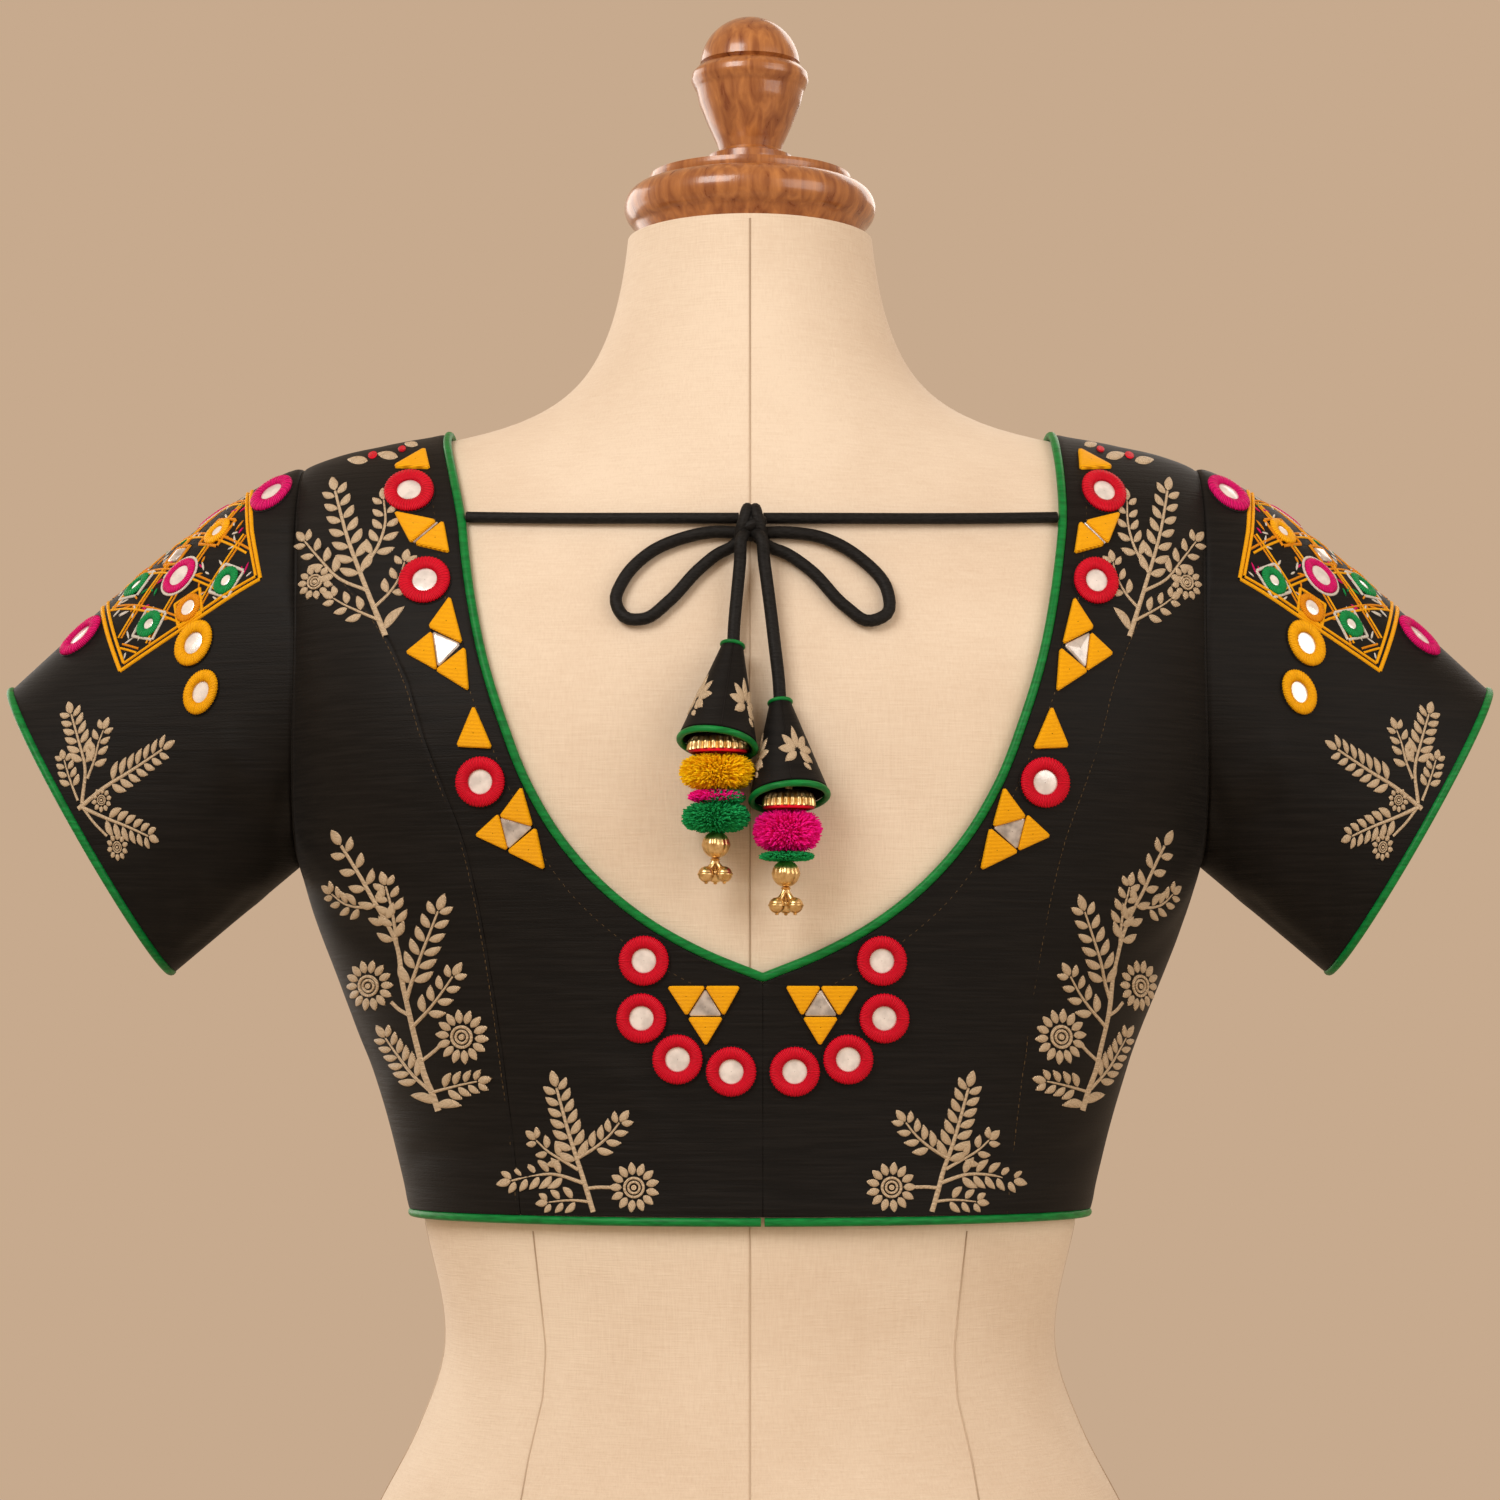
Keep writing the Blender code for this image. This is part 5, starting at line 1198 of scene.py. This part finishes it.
def body_applique(surface, tag):
    rings, discs, pads, grey, outline = Work(), Work(), Work(), Work(), Work()
    for side, height in RINGS:
        rings.ring((side, height), 6.9, 2.45, RING_RISE + 0.5, wraps=44)
        discs.disc((side, height), 5.0, 0.85)
        outline.ring((side, height), 9.45, 0.3, 0.4)
    for row in TRIANGLES:
        corners = np.array(row, float).reshape(3, 2)
        pads.pad(corners, PATCH_RISE + 0.45, inset=-0.16)
    for trio in GREY_TRIANGLES:
        loop = np.array(trio, float).reshape(3, 2)
        grey.pad(loop, 0.75, steps=1)
        middle = loop.mean(axis=0)
        loop = middle + (loop - middle) * 1.12
        outline.stem(np.concatenate([loop, loop[:1]]), 0.7, rise=0.7)
    for a, b, c, d in SILVER_LINES:
        grey.stem([(a, b), ((a + c) / 2, (b + d) / 2), (c, d)], 0.8, rise=0.7)
    rows = ((rings, "mirror_rings_", RED_THREAD), (discs, "mirrors_", MIRROR_LOOK),
            (pads, "padded_triangles_", YELLOW_THREAD), (grey, "mirror_triangles_", GREY_MIRROR),
            (outline, "dark_outlines_", BLACK_THREAD))
    return [work.make(name + tag, surface, material_) for work, name, material_ in rows]


#   grey mirror triangles in the middle of each trio: three corners on the half pattern
GREY_TRIANGLES = (
    (125.0, 462.6, 114.2, 457.2, 122.6, 448.2),
    (98.6, 391.9, 86.2, 388.0, 95.6, 379.6),
    (21.5, 327.2, 27.9, 316.9, 15.1, 316.9),
)
#   a thin silver line between a pair of yellow triangles: side, height, side, height
SILVER_LINES = ((125.5, 507.2, 133.6, 499.0),)


def sprigs_of_back():
    """Three gold sprigs of one side, on the half pattern, in a generic arrangement."""
    work = Work()
    work.branch([(141.8, 461.5), (150, 482), (158, 503), (164.5, 524)], 2.2, 7, 8.6, 3.7, start=0.42)
    work.branch([(149, 480), (160, 486), (168, 495), (174.5, 503)], 1.5, 4, 7.4, 3.3, start=0.42)
    work.branch([(152, 488), (146.5, 498), (144.5, 508), (145.5, 518)], 1.5, 5, 7.0, 3.2, start=0.25)
    work.branch([(146.5, 473), (141, 479), (137.5, 486), (136.5, 491)], 1.3, 3, 6.6, 3.2, start=0.35)
    work.branch([(144.5, 468), (152, 472), (158, 475.5), (161.5, 478)], 1.3, 3, 6.6, 3.2, start=0.35)
    work.leaf((142.5, 464), (135.4, 473), 3.6, 0.75, -0.08)
    work.flower((169.0, 485.5), 7.2, 11)

    stem = [(123.8, 280.9), (131, 304), (136, 328), (139.5, 348), (148, 366), (158, 383)]
    work.branch(stem, 2.6, 6, 8.6, 3.7, start=0.62)
    work.branch([(135.2, 323), (131, 336), (126.5, 347), (122.5, 357)], 1.7, 6, 8.4, 3.6, start=0.2)
    work.branch([(138.4, 344), (138.6, 352), (139.8, 360), (141.6, 367)], 1.5, 4, 6.8, 3.2, start=0.35)
    work.branch([(145, 360), (152, 359.5), (158, 361), (163, 365)], 1.4, 4, 6.6, 3.1, start=0.35)
    work.branch([(133.4, 313), (126.5, 320), (121, 327), (117.2, 332.5)], 1.6, 4, 7.4, 3.4, start=0.30)
    work.flower((149.6, 329.5), 10.0, 14)
    work.flower((113.8, 309.5), 10.6, 14, 0.1)
    work.stem([(130, 300), (126, 303), (122.5, 306)], 1.5, rise=0.6)
    work.stem([(134.5, 318), (138, 320), (141, 323)], 1.5, rise=0.6)
    work.branch([(127.0, 289), (133, 295), (139, 302), (144, 309)], 1.5, 6, 7.4, 3.2, start=0.22)
    work.branch([(126.5, 288), (119, 290), (113, 291.5), (108, 292.5)], 1.4, 4, 7.0, 3.2, start=0.3)
    work.leaf((125, 284), (134.5, 287.0), 3.8, 0.75, 0.08)
    work.leaf((124.6, 283), (114.5, 283.0), 3.8, 0.75, -0.08)

    work.branch([(63.4, 243.2), (68, 258), (72.5, 272), (77.5, 290)], 2.2, 7, 8.2, 3.6, start=0.42)
    work.branch([(67, 254), (78, 257), (87, 256.5), (95.0, 254.5)], 1.6, 5, 7.4, 3.3, start=0.3)
    work.branch([(69, 259), (76, 263), (81, 266), (85.5, 270)], 1.4, 3, 6.6, 3.2, start=0.4)
    work.branch([(70, 263), (62, 268), (57, 272.5), (53.5, 277)], 1.5, 4, 7.0, 3.2, start=0.35)
    work.flower((48.0, 252.6), 9.6, 13)
    work.stem([(66, 252), (62, 252.5), (57, 252.5)], 1.4, rise=0.6)
    work.branch([(64.8, 247), (71, 247.5), (76, 247.2), (80.5, 246.6)], 1.3, 3, 6.2, 3.0, start=0.35)
    return work


def shoulder_peek():
    """Small motifs that lie over the shoulder ridge, on the half pattern."""
    gold, red = Work(), Work()
    gold.leaf((141, 538.5), (150, 541.5), 4.4, 0.6)
    gold.leaf((153, 537.5), (162, 539.5), 4.4, 0.6)
    gold.leaf((133.5, 544.5), (140, 547.0), 3.8, 0.6)
    red.disc((151.5, 540.5), 1.8, 0.7, sides=14)
    red.disc((139.8, 542.8), 1.6, 0.7, sides=14)
    return gold, red


#   the sleeve's patch: turn from the sleeve's top, share of its length
PATCH = ((26, 0.20), (-30, 0.15), (-50.5, 0.12), (-51, 0.39), (-51, 0.65), (26, 0.70))
#   its motifs in the same places: a framed round of each kind
PATCH_MOTIFS = (
    (-44, 0.24, "green"), (-41, 0.52, "green"), (-17, 0.55, "green"), (-21, 0.27, "orange"),
    (-30, 0.40, "mirror"), (-45, 0.38, "framed"), (-18, 0.41, "grey"), (2, 0.30, "mirror"),
    (4, 0.55, "framed"), (13, 0.42, "green"),
)


def sleeve_flat(turn, share):
    return np.array([turn / 360 * SLEEVE_GIRTH, share * SLEEVE_LENGTH])


def frame_of(work, centre, half, thick, upright=False):
    """Four satin-stitched bars round a square, on its corner or upright."""
    corners = half * np.array([(-0.8, -0.8), (0.8, -0.8), (0.8, 0.8), (-0.8, 0.8)] if upright
                              else [(0, -1), (1, 0), (0, 1), (-1, 0)])
    for a, b in zip(corners, np.roll(corners, -1, axis=0)):
        work.stem([centre + a, centre + (a + b) / 2, centre + b], thick, rise=0.8)


def sleeve_patch(orange, white, green, pink, small, discs, grey):
    """The mirror-work patch over the sleeve's head, a generic pattern of framed rounds in a lattice."""
    corners = np.array([sleeve_flat(*row) for row in PATCH])
    middle = corners.mean(axis=0)
    for grow, thick in ((1.0, 1.6), (0.935, 1.2)):
        path = middle + (corners - middle) * grow
        for a, b in zip(path, np.roll(path, -1, axis=0)):
            small.stem([a, (2 * a + b) / 3, (a + 2 * b) / 3, b], thick, rise=0.9)
    inner = middle + (corners - middle) * 0.90
    for lean in (0.70, -0.82):
        way = np.array([math.cos(lean), math.sin(lean)])
        side = np.array([-way[1], way[0]])
        for k in range(-5, 6):
            t = np.linspace(-90, 90, 361)
            line = middle + side * (k + 0.5) * 15.0 + t[:, None] * way
            line = line[within(inner, line)]
            if len(line) > 12:
                for off in (-0.8, 0.8):
                    run = line[[0, len(line) // 3, 2 * len(line) // 3, -1]] + side * off
                    (orange if off < 0 else small).stem(run, 0.9, rise=0.6)
    for turn, share, kind in PATCH_MOTIFS:
        c = sleeve_flat(turn, share)
        if kind in ("green", "orange"):
            frame_of(white if kind == "green" else orange, c, 7.4, 1.2)
            (green if kind == "green" else small).ring(c, 3.6, 1.6, 1.5, wraps=20)
            discs.disc(c, 2.0, 0.8, sides=16)
        elif kind == "mirror":
            pink.ring(c, 5.2, 1.5, 1.6, wraps=28)
            discs.disc(c, 4.0, 0.9, sides=20)
            white.ring(c, 7.2, 0.5, 0.8, wraps=28)
        elif kind == "framed":
            frame_of(small, c, 6.6, 1.3, True)
            orange.ring(c, 4.0, 1.3, 1.5, wraps=22)
            discs.disc(c, 2.9, 0.9, sides=20)
        else:
            grey.pad(c + 3.8 * np.array([(0, -1), (1, 0), (0, 1), (-1, 0)]), 0.8, steps=1)
            frame_of(orange, c, 5.4, 1.2)
    rng = np.random.default_rng(7)
    for work, count in ((white, 110), (green, 40), (orange, 60), (pink, 70)):
        for _ in range(count):
            c = middle + rng.uniform(-1, 1, 2) * (48, 36)
            if within(inner, c[None])[0]:
                a = rng.uniform(0, math.pi)
                way = rng.uniform(1.3, 2.4) * np.array([math.cos(a), math.sin(a)])
                work.leaf(c - way, c + way, 0.8, 0.5)


def sleeve_sprig(gold):
    """The gold sprig that springs from the cuff behind."""
    gold.branch([(-95.6, 115.0), (-95, 100), (-96, 85), (-96.7, 70)], 2.0, 7, 8.2, 3.2, start=0.40)
    gold.branch([(-94.8, 112.5), (-84, 104.5), (-72, 102.0), (-60.5, 100.6)], 1.7, 6, 7.6, 3.3, start=0.42)
    gold.branch([(-88, 105.5), (-83, 99), (-78, 94.5), (-75, 91)], 1.3, 4, 6.4, 3.0, start=0.3)
    gold.branch([(-95.8, 113.5), (-104, 107), (-113, 99), (-122, 91.5)], 1.7, 6, 7.6, 3.3, start=0.36)
    gold.branch([(-93, 113.5), (-86, 112.6), (-80, 111.6), (-76, 110.8)], 1.2, 4, 5.4, 2.8, start=0.35)
    gold.flower((-98.4, 104.0), 4.8, 10)
    gold.flower((-117.0, 107.5), 5.4, 10)
    gold.stem([(-97, 113), (-103, 112), (-111, 109.5)], 1.2, rise=0.6)


def sleeve_work(shape, tag):
    surface = sleeve_surface(shape)
    pink, discs, small, orange, white, green, gold, grey, black = (Work() for _ in range(9))
    for i, (turn, share, reach, thick) in enumerate(SLEEVE_RINGS):
        centre = sleeve_flat(turn, share)
        (pink if i < 2 else small).ring(centre, reach, thick, RING_RISE + 0.5, wraps=44)
        discs.disc(centre, reach - thick + 0.6, 0.85)
        black.ring(centre, reach + thick + 0.1, 0.3, 0.4)
    sleeve_patch(orange, white, green, pink, small, discs, grey)
    sleeve_sprig(gold)
    rows = (
        (pink, "pink_rings", PINK_THREAD), (small, "yellow_rings", YELLOW_THREAD),
        (discs, "discs", MIRROR_LOOK), (orange, "lattice", ORANGE_THREAD),
        (white, "white_stitches", WHITE_THREAD), (green, "green_stitches", GREEN_THREAD),
        (gold, "gold_work", GOLD_THREAD), (grey, "grey_mirror", GREY_MIRROR),
        (black, "outlines", BLACK_THREAD),
    )
    return [work.make(f"sleeve_{tag}_{name}", surface, look) for work, name, look in rows]


def form_shown():
    """The dress form's body, its seams as fine raised threads, and its turned top."""
    heights = np.concatenate([np.linspace(0, 380, 78), np.linspace(386, NECK_TOP, 76)])
    leans = np.interp(heights, [380, 402, 421, 442, 475, 500, 530, 560, 590, 612, NECK_TOP],
                      [0, 2, 18, 34, 50, 52, 45, 34, 20, 8, 0])
    turn = 2 * math.pi * (np.arange(112) + 0.5) / 112
    points = []
    for height, lean in zip(heights, np.radians(leans)):
        way = np.stack([1.35 * np.cos(turn) * np.cos(lean), np.sin(turn) * np.cos(lean),
                        np.full(112, np.sin(lean) * 1.1)], -1)
        points.append(cast(figure, (0, -2, height), way))
    rows = len(heights)
    flat_end = np.stack([0.97 * points[0][:, 0], 0.97 * points[0][:, 1], 0 * turn], -1)
    points = np.concatenate([flat_end] + points)
    faces = grid_faces(rows + 1, 112, 0, True)
    faces += [tuple(range(112)), tuple(rows * 112 + i for i in range(112))]
    body = add_mesh("linen_body", points, faces, LINEN_LOOK)
    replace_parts(body, "form_body")
    seams = []
    low = np.linspace(2, NECK_TOP - 2, 150)
    seam_z = np.linspace(2, 235, 60)
    sides = np.interp(seam_z, [0, 45, 100, 150, 172, 190, 235], [98, 96, 92, 84, 79, 78, 83])
    for sign in (-1, 1):
        for reach, way in ((sides, BACK), (sides - 6, -BACK), (0 * sides, np.array([sign, 0.0, 0.0]))):
            seams.append(cast(figure, np.stack([sign * reach, 0 * sides, seam_z], -1), way, 0.1))
    middle = np.stack([0 * low, 0 * low - 6, low], -1)
    seams.append(cast(figure, middle, BACK, 0.1))
    seams.append(cast(figure, middle, -BACK, 0.1))
    for i, path in enumerate(seams):
        tube(f"linen_seam_{i}", path, 0.3, SEAM_LOOK, rounding=2)
    low = NECK_TOP + SEAM
    cap = [(0.2, 659.3), (38, 659.3), (41.0, 658.6), (41.4, 656.6), (41.0, 655.2)]
    cap += arc((42, 645.5), 9.2, 72, -55, 12) + [(44.5, low + 0.9), (42.5, low), (0.2, low)]
    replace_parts(lathe("wooden_cap", cap, (0, -7, 0), WOOD_LOOK, 128), "form_cap")
    finial = [(0.2, 724.9)] + arc((0, 704.6), 20.4, 80, 4, 12)
    finial += [(18.7, 704.9), (19.2, 704.2), (21.4, 704.0), (23.6, 701.5), (23.9, 698.5), (22.6, 695.6),
               (22.0, 694.9), (20.6, 689.0), (17.2, 680.5), (13.6, 672.6), (12.7, 669.6), (14.2, 668.3),
               (16.9, 667.2), (17.3, 664.2), (16.9, 659.6), (0.2, 659.6)]
    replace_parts(lathe("wooden_finial", finial, (0, -7, 0), WOOD_LOOK, 112), "form_finial")


def within(outline, points):
    """Which flat points lie inside a closed flat outline."""
    outline = np.asarray(outline, float)
    inside = np.zeros(len(points), bool)
    for a, b in zip(outline, np.roll(outline, -1, axis=0)):
        crosses = (a[1] > points[:, 1]) != (b[1] > points[:, 1])
        level = (b[0] - a[0]) * (points[:, 1] - a[1]) / (b[1] - a[1] + 1e-12) + a[0]
        inside ^= crosses & (points[:, 0] < level)
    return inside


SILK_LOOK = look(
    "black_dupion", (0.008, 0.0075, 0.007), 0.6,
    [dict(stretch=(34, 34, 820), Detail=4.0, Roughness=0.6), dict(stretch=(900, 900, 2600), Detail=2.0)],
    (0.0030, 0.0027, 0.0026), (0.0080, 0.0070, 0.0064), (0.40, 0.68),
    bumps=[(1, 0.00018, 0.5), (0, 0.0004, 0.6)], rough=(0.52, 0.68), Specular_IOR_Level=0.16,
    Sheen_Weight=0.02, Sheen_Roughness=0.4)
SATIN_LOOK = look(
    "green_satin_look", (0.004, 0.215, 0.036), 0.42,
    [dict(stretch=(160, 160, 900), turn=(0.6, 0.7, 0.3), Detail=3.0)],
    (0.002, 0.135, 0.026), (0.004, 0.225, 0.044), bumps=[(0, 0.0003, 0.5)], Specular_IOR_Level=0.18)
CORD_LOOK = look(
    "black_cord_look", (0.013, 0.012, 0.012), 0.62,
    [dict(stretch=(500, 500, 1400), turn=(0.5, 0.9, 0.2), Detail=4.0)],
    (0.0025, 0.0024, 0.0024), (0.010, 0.0095, 0.0095), bumps=[(0, 0.0004, 0.7)], Specular_IOR_Level=0.2)
LINEN_LOOK = look(
    "cream_linen_look", (0.80, 0.66, 0.50), 0.88,
    [dict(stretch=(1500, 1500, 120), Detail=3.0), dict(stretch=(110, 110, 1700), Detail=3.0),
     dict(scale=9.0, Detail=4.0), ("ADD", 0, 1), ("MULTIPLY_ADD", 3, 0.32, 2)],
    (0.64, 0.515, 0.39), (0.78, 0.675, 0.545), (0.55, 1.05), 4, [(3, 0.00025, 0.6)], Sheen_Weight=0.15)
WOOD_LOOK = look(
    "turned_wood_look", (0.36, 0.12, 0.03), 0.28,
    [dict(stretch=(260, 260, 26), turn=(0.12, 0.05, 0), Detail=6.0, Distortion=0.6),
     dict(stretch=(1400, 1400, 90), Detail=2.0)],
    (0.21, 0.055, 0.012), (0.50, 0.20, 0.055), (0.3, 0.72), bumps=[(1, 0.0002, 0.35)], rough=(0.22, 0.38),
    Coat_Weight=0.6, Coat_Roughness=0.12)
FLOOR_LOOK = look("pale_floor", (0.55, 0.47, 0.37), 0.8, [dict(scale=3.0, Detail=5.0)],
                  (0.52, 0.44, 0.34), (0.58, 0.50, 0.40))
GOLD_LOOK = metal_look("gilt", (0.86, 0.62, 0.30), (0.55, 0.34, 0.12), 0.22)
# mirror colours are a painted reflection: near white for the mirror discs, grey for the mirror triangles
MIRROR_LOOK = mirror_look("mirror_glass", (0.72, 0.71, 0.71), (0.94, 0.93, 0.93))
GREY_MIRROR = mirror_look("grey_mirror", (0.32, 0.30, 0.29), (0.60, 0.56, 0.53))
GOLD_THREAD = thread_look("gold_thread", (0.16, 0.10, 0.05), (0.98, 0.80, 0.56), 0.4, (0.06, 0.50))
BRONZE_THREAD = thread_look("bronze_thread", (0.03, 0.018, 0.008), (0.14, 0.09, 0.04))
RED_THREAD = thread_look("red_thread", (0.30, 0.001, 0.008), (0.80, 0.006, 0.030))
PINK_THREAD = thread_look("pink_thread", (0.32, 0.001, 0.06), (0.82, 0.006, 0.20))
YELLOW_THREAD = thread_look("yellow_thread", (0.66, 0.27, 0.002), (1.0, 0.50, 0.004))
ORANGE_THREAD = thread_look("orange_thread", (0.42, 0.13, 0.004), (0.94, 0.36, 0.006))
GREEN_THREAD = thread_look("green_thread", (0.003, 0.11, 0.03), (0.008, 0.36, 0.09))
WHITE_THREAD = thread_look("white_thread", (0.42, 0.40, 0.36), (0.80, 0.78, 0.72))
BLACK_THREAD = thread_look("black_thread", (0.004, 0.004, 0.004), (0.02, 0.018, 0.018))
SEAM_LOOK = thread_look("seam_thread", (0.42, 0.32, 0.23), (0.56, 0.45, 0.34))
WOOLS = {
    "yellow": wool_look("yellow_wool_look", (0.96, 0.50, 0.003), (1.0, 0.74, 0.008)),
    "pink": wool_look("pink_wool_look", (0.80, 0.002, 0.20), (1.0, 0.016, 0.42)),
    "green": wool_look("green_wool_look", (0.006, 0.22, 0.06), (0.02, 0.46, 0.14)),
}


def main():
    studio()
    lines = [(sign, resample_at(neck_line(sign), np.linspace(0, 1, 420))) for sign in (-1, 1)]
    cords, knot = ties_and_bow(lines)
    latkans = {
        "left": latkan("left", (-6.4, -112.4, 456.3), (-11.9, HANG_Y - 0.6, 418.9), (
            ("cap", -12.0, 421.5, 414.2, 11.0, "cap"),
            ("yellow", -12.2, 413.9, 400.0, 14.1, "yellow"),
            ("tuft", -12.4, 399.7, 396.2, 9.5, "pink"),
            ("green", -12.6, 395.9, 384.4, 12.7, "green"),
            ("ball", -12.6, 385.0, 374.9, 5.05, "ball"),
            ("bells", -12.9, 374.6, 365.3, 6.8, "bells"),
        )),
        "right": latkan("right", (11.2, -113.0, 434.7), (14.5, HANG_Y - 0.6, 399.0), (
            ("cap", 14.4, 400.6, 393.3, 9.6, "cap"),
            ("pink", 13.9, 393.0, 377.0, 12.9, "pink"),
            ("tuft", 13.6, 376.7, 374.6, 9.0, "green"),
            ("ball", 13.3, 374.3, 364.2, 5.05, "ball"),
            ("bells", 13.3, 363.9, 353.8, 6.8, "bells"),
        )),
    }
    for name, (cord, path, radius) in cords.items():
        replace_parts(cord, name)
        tag = name.split("_")[1]

    backs, fronts = [], []
    for sign, line in lines:
        cut = shifted(line, -sign * (2 * PIPE + 0.1))
        ridge = int(np.argmax(cut[:, 2]))
        back = cut[: ridge - 2]
        back = back[abs(back[:, 0] - SKEW) > 0.16]
        start = back[0] - (back[1] - back[0]) * (abs(back[0][0] - SKEW) - 0.15) / abs(back[1][0] - back[0][0])
        backs.append(np.concatenate([seat(cloth, start[None]), back]))
        front = cut[ridge + 3:]
        front[-1] = seat(cloth, np.array([[0.0, front[-1][1], front[-1][2]]]))[0]
        fronts.append((sign, front))
    back_surface = BackSurface()
    for (sign, line), tag, neck_panel in zip(lines, ("left", "right"), backs):
        middle, side = back_grids(sign, neck_panel)
        centre_panel = shown_panel("silk_back_centre_" + tag, middle, ("edge", "flat", "flat", "flat"))
        side_panel = shown_panel("silk_back_side_" + tag, side, ("edge", "flat", "arm", "flat"))
        surface = back_surface.on(sign)
        work = body_applique(surface, tag)
        work.append(sprigs_of_back().make("gold_sprigs_" + tag, surface, GOLD_THREAD))
        gold, red = shoulder_peek()
        work += [gold.make("shoulder_gold_" + tag, surface, GOLD_THREAD),
                 red.make("shoulder_red_" + tag, surface, RED_THREAD)]
        rows = Work()
        rows.stitches(FACING_LINE, 1.4, 1.6, 0.22, 0.16)
        rows.stitches(np.array(PRINCESS) + (1.3, 0), 1.5, 0.9, 0.26, 0.2)
        work.append(rows.make("facing_stitches_" + tag, surface, BRONZE_THREAD))
        princess = resample_at(on_back(*np.transpose(PRINCESS), sign, cloth, 0.1), np.linspace(0, 1, 90))
        work.append(tube("princess_allowance_" + tag, princess, 1.0, SILK_LOOK, rounding=2))
        for panel_, kind in ((centre_panel, "back_centre"), (side_panel, "back_side")):
            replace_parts(panel_, f"{kind}_{tag}")
        shape = Sleeve(sign)
        sleeve = shown_sleeve("silk_sleeve_" + tag, shape)
        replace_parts(sleeve, "sleeve_" + tag)
        allowance = arm_ring(np.linspace(-180, 180, 181)[:-1], sign) + (sign * SEAM, 0, 0)
        allowance = tube("armhole_allowance_" + tag, allowance, 1.4, SILK_LOOK, closed=True, rounding=2)
        pieces = sleeve_work(shape, tag)
        ring = shape.edge - PIPE * shape.axis - WALL / 2 * shape.cuff_round
        ring = resample_at(ring, np.linspace(0, 1, 181))[:-1]
        cuff = tube("satin_cuff_" + tag, ring, PIPE, SATIN_LOOK, closed=True)
        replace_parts(cuff, "piping_cuff_" + tag)
    centre_z = np.linspace(HEM, NECK_EDGE[0][1] - 5, 30)
    centre = on_back(0 * centre_z, centre_z, 1, cloth, 0.1)
    centre = tube("centre_allowance", centre, 1.0, SILK_LOOK, rounding=2)
    front = shown_panel("silk_front", front_grid(fronts), ("edge", "flat", "edge", "flat"), darts=True)
    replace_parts(front, "front")

    neck = []
    for sign, line in lines:
        path = shifted(line, -sign * PIPE)
        neck.append(path + WALL / 2 * normal_of(cloth, path))
    left, right = (side[abs(side[:, 0] - SKEW) > 0.3] for side in neck)
    whole = joined(left, right[::-1])
    neck_tube = tube("satin_neck", resample_at(whole, np.linspace(0, 1, 360)), PIPE, SATIN_LOOK, closed=True)
    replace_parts(neck_tube, "piping_neck")
    turns = np.radians(np.linspace(-90 - 0.4, -450 + 0.4, 300))
    way = np.column_stack([np.cos(turns), np.sin(turns), 0 * turns])
    hem = tube("satin_hem", cast(cloth, (SKEW, 0, HEM_PIPE), way, WALL / 2), PIPE, SATIN_LOOK)
    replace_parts(hem, "piping_hem")
    form_shown()


#   the facing's stitch line, parallel to the neck edge on the half pattern
FACING_LINE = (
    (21.5, 326.2), (40, 336.5), (55, 347.0), (70.6, 361.3), (82, 376.5), (91.4, 394.1), (101.5, 417),
    (110.7, 439.8), (118.0, 463), (122.8, 486), (126.0, 506), (128.2, 522),
)


main()
